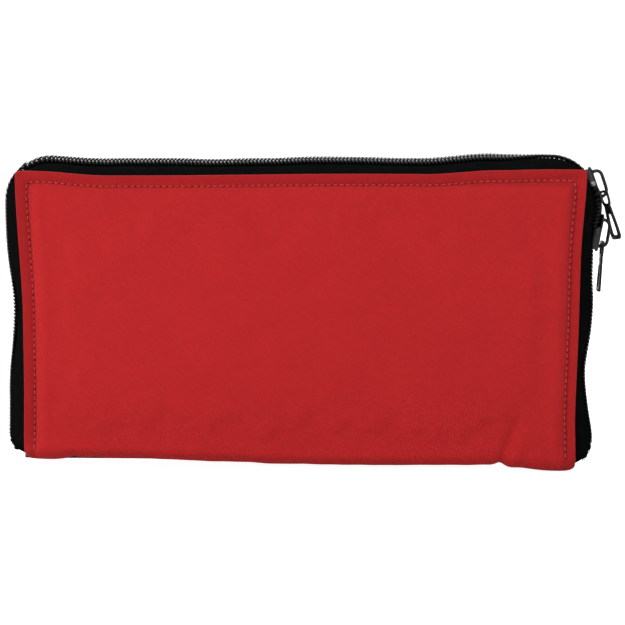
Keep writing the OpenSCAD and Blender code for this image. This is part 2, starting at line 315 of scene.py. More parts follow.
def capsule(a, b, r, sides=6):
    """A rod from a to b with rounded ends."""
    a, b = np.asarray(a, float), np.asarray(b, float)
    d = (b - a) / (np.linalg.norm(b - a) + 1e-12)
    steps = [(-1.0, 0.35), (-0.6, 0.8), (0.0, 1.0)]
    path = [a + d * r * s for s, _ in steps] + [b - d * r * s for s, _ in steps[::-1]]
    radii = [r * k for _, k in steps] + [r * k for _, k in steps[::-1]]
    axis = (1, 0, 0) if abs(d[0]) < 0.8 else (0, 0, 1)
    return tube(path, radii, sides, side_axis=axis)


def loft(loops, cap=True):
    """A closed skin over a stack of loops with the same number of points."""
    n = len(loops[0])
    v = np.concatenate([np.asarray(l, float) for l in loops])
    f = grid(len(loops), n, close_cols=True)
    if cap:
        f += [tuple(range(n))[::-1], tuple((len(loops) - 1) * n + i for i in range(n))]
    return v, f


def ring_plate(outer, inner, half_t, edge):
    """A flat plate round a hole, with rounded edges; outlines are matching loops in (y, z)."""
    outer, inner = np.asarray(outer, float), np.asarray(inner, float)
    d = inner - outer
    length = np.linalg.norm(d, axis=1)[:, None]
    d = d / length
    out_edge = [(outer, 0, 0.35), (outer, 0.3, 0.8), (outer, 1, 1)]
    in_edge = [(inner, -1, 1), (inner, -0.3, 0.8), (inner, 0, 0.35)]
    top = out_edge + in_edge
    rows = []
    for base, inwards, t in top + [(base, inwards, -t) for base, inwards, t in top[::-1]]:
        p = base + d * inwards * edge
        rows.append(np.column_stack([np.full(len(p), t * half_t), p]))
    v = np.concatenate(rows)
    return v, grid(len(rows), len(outer), close_rows=True, close_cols=True)


def arc(cx, cy, r, a0, a1, n):
    """n points round an arc, with its angles in degrees."""
    a = np.radians(np.linspace(a0, a1, n))
    return np.column_stack([cx + r * np.cos(a), cy + r * np.sin(a)])


def rounded_rect(x0, x1, y0, y1, r, n=6):
    return np.concatenate([arc(x1 - r, y1 - r, r, 0, 90, n), arc(x0 + r, y1 - r, r, 90, 180, n),
                           arc(x0 + r, y0 + r, r, 180, 270, n), arc(x1 - r, y0 + r, r, 270, 360, n)])


def resample(loop, n):
    """n evenly spaced points round a closed outline."""
    loop = np.vstack([loop, loop[:1]])
    keep = np.r_[True, np.linalg.norm(np.diff(loop, axis=0), axis=1) > 1e-9]
    loop = loop[keep]
    s = np.r_[0, np.cumsum(np.linalg.norm(np.diff(loop, axis=0), axis=1))]
    t = np.linspace(0, s[-1], n, endpoint=False)
    return np.column_stack([np.interp(t, s, loop[:, k]) for k in range(loop.shape[1])])


# ---------------------------------------------------------------- materials

class Nodes:
    """Shorthand for building a node material whose pattern is laid out in mm."""

    def __init__(self, name):
        self.mat = bpy.data.materials.new(name)
        self.mat.use_nodes = True
        self.tree = self.mat.node_tree
        self.bsdf = self.tree.nodes["Principled BSDF"]
        coord = self.add("ShaderNodeTexCoord")
        scale = self.add("ShaderNodeVectorMath", operation="SCALE")
        scale.inputs["Scale"].default_value = 1 / MM
        self.link(coord.outputs["Object"], scale.inputs[0])
        self.mm = scale.outputs[0]
        split = self.add("ShaderNodeSeparateXYZ")
        self.link(self.mm, split.inputs[0])
        self.x, self.y, self.z = split.outputs

    def add(self, kind, **props):
        n = self.tree.nodes.new(kind)
        for k, v in props.items():
            setattr(n, k, v)
        return n

    def link(self, a, b):
        self.tree.links.new(a, b)

    def math(self, op, a, b=None, c=None):
        n = self.add("ShaderNodeMath", operation=op)
        for i, x in enumerate((a, b, c)):
            if x is None:
                continue
            if isinstance(x, (int, float)):
                n.inputs[i].default_value = x
            else:
                self.link(x, n.inputs[i])
        return n.outputs[0]

    def wave(self, t, period):
        return self.math("SINE", self.math("MULTIPLY", t, 2 * math.pi / period))

    def noise(self, size, detail=2.0, stretch=None):
        n = self.add("ShaderNodeTexNoise")
        n.inputs["Scale"].default_value = 1.0 / size
        n.inputs["Detail"].default_value = detail
        source = self.mm
        if stretch:
            m = self.add("ShaderNodeVectorMath", operation="MULTIPLY")
            m.inputs[1].default_value = stretch
            self.link(self.mm, m.inputs[0])
            source = m.outputs[0]
        self.link(source, n.inputs["Vector"])
        return n.outputs["Fac"]

    def spread(self, fac, low, high):
        """fac, about 0 to 1, mapped to low to high."""
        return self.math("MULTIPLY_ADD", fac, high - low, low)

    def border(self):
        """0 on the flat border of a panel, 1 on its padded middle: the mask for painted shade on the border.
        """
        from_side = self.math("SUBTRACT", HALF_W - 2.5, self.math("ABSOLUTE", self.x))
        inside = self.math("MINIMUM", from_side, self.math("SUBTRACT", TOP - 1.5, self.z))
        step = self.math("MULTIPLY", self.math("SUBTRACT", inside, 4.2), 0.6)
        return self.math("MINIMUM", self.math("MAXIMUM", step, 0.0), 1.0)

    def colour(self, base, factors, wear=None):
        """base times every factor, with a paler colour on worn edges."""
        value = factors[0]
        for f in factors[1:]:
            value = self.math("MULTIPLY", value, f)
        n = self.add("ShaderNodeVectorMath", operation="SCALE")
        n.inputs[0].default_value = base
        self.link(value, n.inputs["Scale"])
        out = n.outputs[0]
        if wear:
            geo = self.add("ShaderNodeNewGeometry")
            ramp = self.add("ShaderNodeValToRGB")
            ramp.color_ramp.elements[0].position = 0.515
            ramp.color_ramp.elements[1].position = 0.60
            self.link(geo.outputs["Pointiness"], ramp.inputs[0])
            worn = self.math("MULTIPLY", ramp.outputs[0], self.spread(self.noise(1.3), 0.1, 0.8))
            mix = self.add("ShaderNodeMix", data_type="RGBA")
            self.link(self.math("MULTIPLY", worn, wear[1]), mix.inputs[0])
            self.link(out, mix.inputs[6])
            mix.inputs[7].default_value = (*wear[0], 1)
            out = mix.outputs[2]
        self.link(out, self.bsdf.inputs["Base Color"])

    def bump(self, height, mm):
        n = self.add("ShaderNodeBump")
        n.inputs["Strength"].default_value = 1.0
        n.inputs["Distance"].default_value = mm * MM
        self.link(height, n.inputs["Height"])
        self.link(n.outputs[0], self.bsdf.inputs["Normal"])

    def finish(self, rough=None, **values):
        if rough is not None:
            if isinstance(rough, (int, float)):
                self.bsdf.inputs["Roughness"].default_value = rough
            else:
                self.link(rough, self.bsdf.inputs["Roughness"])
        for k, v in values.items():
            self.bsdf.inputs[k.replace("_", " ").title().replace("Ior", "IOR")].default_value = v
        return self.mat


def woven(name, base, thread=0.5, relief=0.10, mottle=0.10, sheen=0.25, wear=None, shine=0.25, border=1.0):
    """Woven cloth lying mostly in the X-Z or X-Y plane: crossing threads, slubs and uneven dye.

    border is how bright a panel's flat border is beside its middle: painted shade on the border, not the
    cloth's own colour."""
    n = Nodes(name)
    v = n.math("ADD", n.z, n.y)
    wob = n.spread(n.noise(2.2), -0.12, 0.12)
    across = n.wave(n.math("ADD", n.x, wob), thread)
    along = n.wave(n.math("ADD", v, wob), thread)
    rib = n.wave(n.math("ADD", n.math("ADD", n.x, v), wob), thread * 2.0)
    crossing = n.math("MULTIPLY", n.math("MULTIPLY", across, along), 0.45)
    height = n.math("ADD", crossing, n.math("MULTIPLY", rib, 0.55))
    slub = n.noise(0.9, 3.0, (0.35, 1.0, 1.0))
    height = n.math("ADD", height, n.math("MULTIPLY", slub, 1.6))
    # the last factor darkens a panel's flat border: painted shade
    n.colour(base, [n.spread(n.noise(26, 3.0), 1 - mottle, 1 + mottle),
                    n.spread(n.noise(1.1, 4.0), 1 - mottle * 2.2, 1 + mottle * 2.2),
                    n.spread(height, 0.93, 1.05), n.spread(n.border(), border, 1.0)], wear)
    n.bump(height, relief)
    n.bsdf.inputs["Sheen Weight"].default_value = sheen
    n.bsdf.inputs["Sheen Roughness"].default_value = 0.4
    return n.finish(n.spread(n.noise(3.0), 0.80, 0.92), specular_ior_level=shine)


def ribbed(name, base, pitch=0.8, relief=0.12, sheen=0.15, shine=0.3):
    """Narrow webbing, tape or thread: close ribs over a fine weave."""
    n = Nodes(name)
    t = n.math("ADD", n.x, n.z)
    ribs = n.wave(t, pitch)
    fine = n.math("MULTIPLY", n.wave(n.y, 0.62), n.wave(t, pitch / 2))
    height = n.math("ADD", ribs, n.math("MULTIPLY", fine, 0.6))
    n.colour(base, [n.spread(n.noise(7, 3.0), 0.75, 1.25), n.spread(height, 0.9, 1.12)])
    n.bump(height, relief)
    n.bsdf.inputs["Sheen Weight"].default_value = sheen
    return n.finish(0.8, specular_ior_level=shine)


def enamel(name, base, rough=0.2, relief=0.02, coat=0.0, wear=None, shine=0.5):
    """Smooth painted metal or moulded plastic, with slight orange peel and smudges."""
    n = Nodes(name)
    grain = 1.2
    n.colour(base, [n.spread(n.noise(grain * 6), 0.85, 1.15)], wear)
    n.bump(n.noise(grain, 3.0), relief)
    n.bsdf.inputs["Coat Weight"].default_value = coat
    return n.finish(n.spread(n.noise(grain * 3, 4.0), rough * 0.7, rough * 1.4), specular_ior_level=shine)


def brushed(name, base, rough=0.28):
    """Bare metal with fine streaks along X."""
    n = Nodes(name)
    streak = n.noise(0.25, 3.0, (0.1, 1, 1))
    n.colour(base, [n.spread(streak, 0.88, 1.08), n.spread(n.noise(8), 0.92, 1.05)])
    n.bump(streak, 0.01)
    return n.finish(n.spread(streak, rough * 0.7, rough * 1.5), metallic=1.0)


def papery(name, base, rough=0.75, relief=0.06, fold=6.0, metallic=0.0):
    """Paper, film, foil or foam, with crumples of size fold."""
    n = Nodes(name)
    crumple = n.noise(fold, 5.0)
    n.colour(base, [n.spread(crumple, 0.93, 1.05), n.spread(n.noise(0.5, 2.0), 0.97, 1.03)])
    n.bump(crumple, relief * 6)
    return n.finish(rough, metallic=metallic)


# border=0.83 darkens the panels' flat borders: painted shade, not the cloth's own colour
RED = woven("red_weave", (0.49, 0.0185, 0.0205), thread=0.62, mottle=0.06, sheen=0.08, shine=0.10,
            border=0.83, wear=((0.62, 0.07, 0.07), 0.35))
RED_THREAD = ribbed("red_thread", (0.66, 0.085, 0.085), pitch=0.35, relief=0.03, sheen=0.0, shine=0.1)
# dark red for capsules at the needle holes: painted shade of the holes, not a thread
HOLE_SHADE = ribbed("needle_hole_shade", (0.17, 0.010, 0.012), pitch=0.35, relief=0.03, sheen=0.0, shine=0.0)
TAPE = ribbed("tape_weave", (0.0055, 0.0064, 0.0062), pitch=0.9, relief=0.10, sheen=0.0, shine=0.0)
COIL = enamel("coil_nylon", (0.008, 0.008, 0.0085), rough=0.32, shine=0.25)
ENAMEL = enamel("black_enamel", (0.006, 0.006, 0.0065), rough=0.22, coat=0.1, shine=0.3,
                wear=((0.30, 0.28, 0.26), 0.15))
# bright metal for a small patch on the upper slider: a painted glint that stands in for a reflection of the
# light
PAINTED_GLINT = brushed("painted_glint_metal", (0.42, 0.44, 0.50), rough=0.4)
LINING = woven("lining_weave", (0.030, 0.031, 0.035), thread=0.7, relief=0.08, mottle=0.2)
COIL_THREAD = ribbed("coil_thread", (0.007, 0.007, 0.0075), pitch=0.3, relief=0.03, sheen=0.0, shine=0.15)
FOAM = papery("foam_cells", (0.62, 0.58, 0.50), rough=0.95, relief=0.05, fold=1.2)
DARK_THREAD = ribbed("dark_thread", (0.05, 0.05, 0.052), pitch=0.4, relief=0.04)
NET = ribbed("net_strand", (0.03, 0.03, 0.032), pitch=0.5, relief=0.04)
ELASTIC = ribbed("elastic_web", (0.022, 0.022, 0.024), pitch=1.1, relief=0.16)
GAUZE = papery("gauze_wrapper", (0.80, 0.83, 0.85), rough=0.7, fold=5)
PLASTER = papery("plaster_wrapper", (0.82, 0.80, 0.75), rough=0.6, fold=3)
SKIN_TAPE = woven("plaster_cloth", (0.62, 0.38, 0.24), thread=0.5, relief=0.05)
SACHET = papery("sachet_foil", (0.55, 0.68, 0.78), rough=0.35, fold=3, metallic=0.55)
NITRILE = papery("nitrile_film", (0.06, 0.17, 0.42), rough=0.42, relief=0.03, fold=4)
FOIL = papery("rescue_foil", (0.80, 0.81, 0.83), rough=0.16, relief=0.16, fold=4, metallic=1.0)
CREPE = woven("crepe_bandage", (0.86, 0.78, 0.64), thread=0.9, relief=0.22, mottle=0.08)
STICKY = ribbed("sticking_tape", (0.72, 0.60, 0.45), pitch=0.7, relief=0.05)
WHITE_PLASTIC = enamel("white_plastic", (0.75, 0.75, 0.73), rough=0.35)
CALICO = woven("calico_cotton", (0.80, 0.77, 0.69), thread=0.7, relief=0.12, mottle=0.06)
STEEL = brushed("brushed_steel", (0.62, 0.63, 0.65))
BRASS = brushed("pin_steel", (0.66, 0.60, 0.42), rough=0.22)
RED_PLASTIC = enamel("red_plastic", (0.42, 0.02, 0.025), rough=0.3, relief=0.04, coat=0.2)


# ---------------------------------------------------------------- padded panels

def inset(dx, dz, r):
    """Distance in from the sides and the top, round corners of radius r."""
    cx, cz = np.maximum(r - dx, 0), np.maximum(r - dz, 0)
    return np.where((cx > 0) & (cz > 0), r - np.hypot(cx, cz), np.minimum(dx, dz))


def pad_simulation(side):
    """Cloth-simulated swelling of a stuffed panel, as a function of x and z, in mm."""
    nx, nz, step = 60, 32, 4.1
    lowest, half_thick = 5, 2.0
    xs = (np.arange(nx) - (nx - 1) / 2) * step
    zs = np.arange(nz) * step + lowest
    gx, gz = np.meshgrid(xs, zs)
    slack = 0.35 * ripple(gx, gz, 38, 11 + side) + 0.15 * ripple(gx, gz, 14, 21 + side)
    front = np.column_stack([gx.ravel() * MM, (-half_thick - slack.ravel()) * MM, gz.ravel() * MM])
    back = np.column_stack([gx.ravel() * MM, np.full(gx.size, half_thick * MM), gz.ravel() * MM])
    n = nx * nz
    faces, rim = shell_faces(nz, nx)
    me = bpy.data.meshes.new("pad_sim")
    me.from_pydata(np.vstack([front, back]).tolist(), [], faces)
    obj = bpy.data.objects.new("pad_sim", me)
    bpy.context.scene.collection.objects.link(obj)
    face_out(me)
    pin = obj.vertex_groups.new(name="pin")
    pin.add(list(range(n, 2 * n)) + rim, 1.0, "REPLACE")
    cloth = obj.modifiers.new("cloth", "CLOTH")
    s = cloth.settings
    s.quality, s.mass, s.tension_stiffness, s.compression_stiffness = 6, 0.3, 12, 12
    s.bending_stiffness = 0.4
    s.vertex_group_mass = "pin"
    s.use_pressure, s.uniform_pressure_force = True, 4.0
    s.shrink_min = -0.045
    s.effector_weights.gravity = 0
    scene = bpy.context.scene
    for at in range(1, SIM_FRAMES + 1):
        scene.frame_set(at)
        bpy.context.view_layer.update()
    dg = bpy.context.evaluated_depsgraph_get()
    got = np.array([v.co for v in obj.evaluated_get(dg).data.vertices])[:n, 1] / MM
    swell = np.clip(-(got - front[:, 1] / MM), -1.0, 6.0).reshape(nz, nx)
    bpy.data.objects.remove(obj)
    scene.frame_set(1)
    swell = swell - swell[2:-2, 2:-2].mean()
    swell = np.tanh(swell / SWELL_LIMIT) * SWELL_LIMIT
    swell[[0, -1], :] = 0
    swell[:, [0, -1]] = 0

    def look_up(x, z):
        u = np.clip((x - xs[0]) / step, 0, nx - 1.001)
        v = np.clip((z - zs[0]) / step, 0, nz - 1.001)
        i, j = v.astype(int), u.astype(int)
        fu, fv = smooth(u - j), smooth(v - i)
        return ((swell[i, j] * (1 - fu) + swell[i, j + 1] * fu) * (1 - fv)
                + (swell[i + 1, j] * (1 - fu) + swell[i + 1, j + 1] * fu) * fv)
    return look_up


def panel_rows(t):
    """Base y and z and outward normal, for lengths t down the panel, round the fold and underneath."""
    t = np.asarray(t, float)
    a = np.clip((t - FACE_LEN) / FOLD_R, 0, math.pi / 2)
    y = -BORDER + FOLD_R * (1 - np.cos(a)) + np.clip(t - FACE_LEN - FOLD_LEN, 0, None)
    z = np.where(t < FACE_LEN, TOP - t, UNDER_Z + FOLD_R * (1 - np.sin(a)))
    return y, z, -np.cos(a), -np.sin(a)


def swell_at(x, t, side, sim):
    """How far the outer fabric stands off its flat cut shape."""
    _, z, _, _ = panel_rows(t)
    dx, dz = HALF_W - np.abs(x), t
    near = smooth((x - HALF_W + 20) / 10)
    d = inset(dx + 1.1 * near, dz, 10) - 5.3
    rise = (PUFF - 0.4) * (1 - np.exp(-(np.maximum(d, 0) / 2.7) ** 1.25))
    rim = np.clip(inset(dx, dz, 3) / 4.6, 0, 1)
    flange = 0.15 * np.sin(math.pi * rim) + 1.15 * (1 - rim)
    stitch = inset(dx, dz, STITCH_R) - STITCH_IN
    run = np.where(dz < dx, x, z)
    pull = 0.55 + 0.18 * np.cos(2 * math.pi * run / STITCH_PITCH)
    dip = -pull * np.exp(-((stitch - 0.6 + 1.9 * near) / 1.0) ** 2)
    pucker = 0.16 * ripple(run, stitch * 0.25, 7.5, 31 + side) * np.exp(-(stitch / 4.5) ** 2)
    crown = 0.75 * (1 - (x / HALF_W) ** 2) * np.sin(math.pi * np.clip(z / TOP, 0, 1)) ** 0.7
    soft = 0.30 * ripple(x, z, 46, 41 + side) + 0.10 * ripple(x, z, 15, 51 + side)
    pad = smooth(d / 9)
    h = rise + flange + dip + pucker + pad * (crown + soft + sim(x, z))
    low = smooth((15 - z) / 12)
    under = (PUFF - 0.35) * (1 - np.exp(-(dx + 0.6) / 1.5)) + 0.18 * ripple(x, t, 24, 61 + side)
    h = h * (1 - low) + under * low
    if side == FRONT:
        h += crease(x, z, (93.7, -1), (108.5, 34), 2.2, 1.5)
        h += crease(x, z, (-109, -1), (-106, 10), 2.0, 0.6)
        h += 0.55 * np.exp(-((x - 112) / 13) ** 2 - ((z - 11) / 12) ** 2)
        h -= 1.25 * smooth((z < 9) * smooth((9 - z) / 6) * smooth((104 - x) / 60))
    else:
        h += crease(x, z, (-84, -1), (-96, 18), 2.4, 0.8)
    return h


def crease(x, z, a, b, width, depth):
    """A soft fold line from a to b, deepest at a."""
    ax, az = a
    ux, uz = b[0] - ax, b[1] - az
    length = math.hypot(ux, uz)
    ux, uz = ux / length, uz / length
    along = (x - ax) * ux + (z - az) * uz
    off = (x - ax) * uz - (z - az) * ux
    fade = smooth((along + 4) / 4) * smooth((length - along) / (0.6 * length))
    ridge = np.exp(-((off - 2.2 * width) / (1.5 * width)) ** 2) * 0.45
    return depth * fade * (ridge - np.exp(-(off / width) ** 2))


def round_corners(x, t):
    """Pulls the two square top corners of the cut shape in to a small radius."""
    r = 2.0
    a = np.clip((np.abs(x) - (HALF_W - r)) / r, 0, 1)
    b = np.clip((r - t) / r, 0, 1)
    inside = (a > 0) & (b > 0)
    x = np.where(inside, np.sign(x) * (HALF_W - r + r * a * np.sqrt(1 - b * b / 2)), x)
    t = np.where(inside, r - r * b * np.sqrt(1 - a * a / 2), t)
    return x, t


def cover(side, sim):
    """The outer fabric of a half: the panel, round the fold and to the middle of the underside."""
    fine = [(0, 0.5), (1.2, 0.65), (9.0, 0.9), (14.0, 1.6)]
    half = spaced(fine + [(HALF_W, 2.0)])
    xs = np.concatenate([half - HALF_W, (HALF_W - half)[::-1][1:]])
    end = FACE_LEN + FOLD_LEN + FLAT_LEN
    ts = spaced([(0, 0.5), (1.2, 0.65), (9.0, 0.9), (14.0, 1.8), (FACE_LEN - 24, 1.1), (FACE_LEN - 2, 0.55),
                 (FACE_LEN + FOLD_LEN, 1.2), (end, 1.0)])
    x, t = np.meshgrid(xs, ts)
    x, t = round_corners(x, t)
    h = swell_at(x, t, side, sim)
    y, z, ny, nz = panel_rows(t)
    p = np.stack([x, y + ny * h, z + nz * h], -1).reshape(-1, 3)
    mesh = on_side(sag(p), side), grid(len(ts), len(xs), flip=side == FRONT)
    name = SIDE_NAME[side] + "_cover"
    replaced = [name, "spine_cover"] if side == FRONT else [name]
    piece(name + "_fabric", mesh, RED, over_fold(side), replaced,
          modifiers=[thicken(1.0, 0.35)], closed=False)


def stitches(side, sim):
    """The row of thread on the face of the panel: up one side, across the top, down the other, with a dark
    capsule at each needle hole as painted shade.
    """
    r, x_in, t_in = STITCH_R, HALF_W - STITCH_IN, STITCH_IN
    down = TOP - 7.5
    line = np.concatenate([[(-x_in, down)], [(-x_in, t_in + r)], arc(-x_in + r, t_in + r, r, 180, 270, 5),
                           arc(x_in - r, t_in + r, r, 270, 360, 5), [(x_in, down)]])
    seg = np.linalg.norm(np.diff(line, axis=0), axis=1)
    s = np.r_[0, np.cumsum(seg)]
    count = int(s[-1] / STITCH_PITCH)
    parts, shade_dots = [], []
    wander = np.random.default_rng(71 + side)
    for k in range(count):
        ends = []
        for f in (0.10, 0.5, 0.90):
            at = (k + f) * s[-1] / count
            x, t = (np.interp(at, s, line[:, 0]), np.interp(at, s, line[:, 1]))
            y, z, _, _ = panel_rows(np.array([t]))
            h = float(swell_at(np.array([x]), np.array([t]), side, sim)[0])
            lift = 0.50 if f == 0.5 else -0.12
            ends.append(sag(np.array([x + wander.normal(0, 0.05), float(y[0]) - h - lift, float(z[0])])))
        a, m, b = ends
        path = [a, a * 0.55 + m * 0.45 + (0, -0.1, 0), m, b * 0.55 + m * 0.45 + (0, -0.1, 0), b]
        axis = (1, 0, 0) if abs(b[0] - a[0]) < abs(b[2] - a[2]) else (0, 0, 1)
        parts.append(tube(path, [0.15, 0.24, 0.27, 0.24, 0.15], 6, side_axis=axis))
        # a dark capsule at the needle hole: painted shade of the hole, not a thread
        shade_dots.append(capsule(b - (b - m) * 0.12 + (0, -0.12, 0), b + (b - m) * 0.32 + (0, -0.12, 0), 0.30))
    name = SIDE_NAME[side]
    for title, meshes, thread, replaced in (("_stitches", parts, RED_THREAD, [name + "_seam_thread"]),
                                            ("_stitch_hole_shadows", shade_dots, HOLE_SHADE, [])):
        v, f = join(meshes)
        piece(name + title, (on_side(v, side), f), thread, name + "_half", replaced)


def padding(side, sim):
    """The foam inside a panel: flat against the lining, rounded off all round under the outer fabric."""
    name = SIDE_NAME[side] + "_padding"
    lo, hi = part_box(name)
    x0, x1, z0, z1 = lo.x / MM + 1.2, hi.x / MM - 1.2, lo.z / MM + 1.5, hi.z / MM - 1.2
    xs = spaced([(x0, 1.0), (x0 + 8, 4.0), (x1 - 8, 1.0), (x1, 1.0)])
    zs = spaced([(z0, 1.0), (z0 + 8, 4.0), (z1 - 8, 1.0), (z1, 1.0)])
    x, z = np.meshgrid(xs, zs)
    edge = np.minimum(np.minimum(x - x0, x1 - x), np.minimum(z - z0, z1 - z))
    outside = -BORDER - swell_at(x, TOP - z, side, sim) + 1.5 + 1.6 * np.exp(-(edge / 1.6) ** 2)
    inside = np.full(x.shape, -LINING_Y - 0.75)
    outside = np.minimum(outside, inside - 0.4)
    v, f = upright(x, z, outside, inside)
    piece(name + "_foam", (on_side(sag(v), side), f), FOAM, SIDE_NAME[side] + "_half", [name])


# ---------------------------------------------------------------- zipper

def chain_path():
    """Points along the chain at the panel edge, from the bottom of the far side over the top and down.

    Returns x, z, the outward direction and the length so far."""
    c, r = HALF_W - CORNER_C, CORNER_C
    bx, bz = HALF_W - BOTTOM_R, CHAIN_BOTTOM + BOTTOM_R
    corners = [((-bx, bz), BOTTOM_R, 270, 180), ((-c, TOP - r), r, 180, 90),
               ((c, TOP - r), r, 90, 0), ((bx, bz), BOTTOM_R, 360, 270)]
    pts, nrm = [], []
    for (cx, cz), rad, a0, a1 in corners:
        a = np.radians(np.linspace(a0, a1, 40))
        n = np.column_stack([np.cos(a), np.sin(a)])
        pts.append(np.array([cx, cz]) + n * rad)
        nrm.append(n)
    pts, nrm = np.concatenate(pts), np.concatenate(nrm)
    s = np.r_[0, np.cumsum(np.linalg.norm(np.diff(pts, axis=0), axis=1))]
    keep = np.r_[True, np.diff(s) > 1e-9]
    pts, nrm, s = pts[keep], nrm[keep], s[keep]
    t = np.linspace(0, s[-1], int(s[-1] / CHAIN_STEP))
    x, z = np.interp(t, s, pts[:, 0]), np.interp(t, s, pts[:, 1])
    nx, nz = np.interp(t, s, nrm[:, 0]), np.interp(t, s, nrm[:, 1])
    size = np.hypot(nx, nz)
    return np.column_stack([x, z]), np.column_stack([nx / size, nz / size]), t


CHAIN, CHAIN_N, CHAIN_S = chain_path()


def chain_at(s, n):
    """World x and z at length s along the chain and n outside the panel edge."""
    x, z = np.interp(s, CHAIN_S, CHAIN[:, 0]), np.interp(s, CHAIN_S, CHAIN[:, 1])
    nx, nz = np.interp(s, CHAIN_S, CHAIN_N[:, 0]), np.interp(s, CHAIN_S, CHAIN_N[:, 1])
    return x + nx * n, z + nz * n


def near_side(s):
    """1 on the straight run with the sliders, 0 elsewhere, for keeping it true."""
    x, z = chain_at(s, 0)
    return smooth((x - HALF_W + 22) / 12) * smooth((z - 78) / 14)


def bulge(s):
    """Unevenness of the tape and the chain, away from the sliders."""
    x, z = chain_at(s, 0)
    near = 0.5 - 2.4 * np.exp(-((z - 46) / 16) ** 2) + 1.6 * np.exp(-((z - 14) / 10) ** 2)
    far = 0.9 - 2.8 * np.exp(-((z - 72) / 26) ** 2)
    near, far = near * (x > HALF_W - 6), far * (x < 6 - HALF_W)
    return (near + far + 0.35 * ripple(s, 0 * s, 60, 81)) * (1 - near_side(s))


def slider_s(z, angle=None):
    """Length along the chain of the lower slider (by height) or the upper one (by angle)."""
    if angle is None:
        side = (CHAIN[:, 0] > HALF_W - 0.5)
        return CHAIN_S[side][np.argmin(np.abs(CHAIN[side, 1] - z))]
    a = np.degrees(np.arctan2(CHAIN[:, 1] - (TOP - CORNER_C), CHAIN[:, 0] - (HALF_W - CORNER_C)))
    top = (CHAIN[:, 0] > HALF_W - CORNER_C) & (CHAIN[:, 1] > TOP - CORNER_C)
    return CHAIN_S[top][np.argmin(np.abs(a[top] - math.degrees(angle)))]


S_UP, S_LOW = slider_s(0, SLIDER_ANGLE), slider_s(LOWER_END + SLIDER_L / 2)


def open_chain(s):
    """1 where the two coils stand apart, between the middles of the sliders, and 0 elsewhere."""
    reach = 3.0
    return smooth((s - (S_UP - 1)) / reach) * smooth(((S_LOW + 1) - s) / reach)


def parted(s):
    """How far each coil stands back from the middle, in mm."""
    return 0.80 * open_chain(s)


def bow(s):
    """The sliders draw the slack chain outwards, most of all between the two."""
    return 2.6 * np.exp(-((s - (S_UP + S_LOW) / 2) / 8.5) ** 2)


def lean(s):
    """Slope of the chain across its width: along the top it rolls towards the front."""
    x, z = chain_at(s, 0)
    along_top = smooth((z - (TOP - 7)) / 6)
    return 0.36 * along_top * smooth((HALF_W - 18 - x) / 24)


def rolled(n, y, s, side):
    """n for a chain that leans towards the front: lower on the front side, higher on the back."""
    return n - side * lean(s) * y * np.exp(-(y / 7.0) ** 2)


def zipper_tape(side):
    """The tape's outer face: from under the panel's edge, out round the border and in to the coil."""
    profile = np.array([(-4.0, -15.0), (-2.0, -15.3), (-0.4, -15.4), (0.9, -14.9), (0.42 * TAPE_OUT, -13.8),
                        (0.62 * TAPE_OUT, -12.2), (0.8 * TAPE_OUT, -10.0), (0.91 * TAPE_OUT, -7.6),
                        (0.97 * TAPE_OUT, -5.4), (TAPE_OUT, -3.8), (TAPE_OUT, -2.4), (TAPE_OUT, -1.15),
                        (TAPE_OUT + 0.1, -0.4)])
    turned_up = 3.0 if side == FRONT else 4.8
    ss = CHAIN_S
    push = bulge(ss)
    rows = []
    for n, y in profile:
        share = np.clip((n + 0.6) / (TAPE_OUT + 0.6), 0, 1) ** 0.8
        near_coil = smooth((y + 8) / 5)
        wave = 0.22 * ripple(ss, np.full(len(ss), y * 1.5), 22, 91 + side) * share * (1 - near_side(ss))
        lift = turned_up * smooth((y + 3.0) / 1.85) - 0.9 * near_coil
        out = n + push * share + wave + 0.75 * bow(ss) * near_coil + lift * open_chain(ss)
        x, z = chain_at(ss, rolled(out, y, ss, side))
        tuck = smooth((24 - z) / 18)
        rows.append(np.column_stack([x, (y - 0.9 * parted(ss) * near_coil) * (1 - 0.05 * tuck), z]))
    name = SIDE_NAME[side]
    mesh = on_side(sag(np.concatenate(rows)), side), grid(len(profile), len(ss), flip=side == BACK)
    piece(name + "_tape", mesh, TAPE, name + "_half", [name + "_zipper_tape"],
          modifiers=[thicken(0.7)], closed=False)


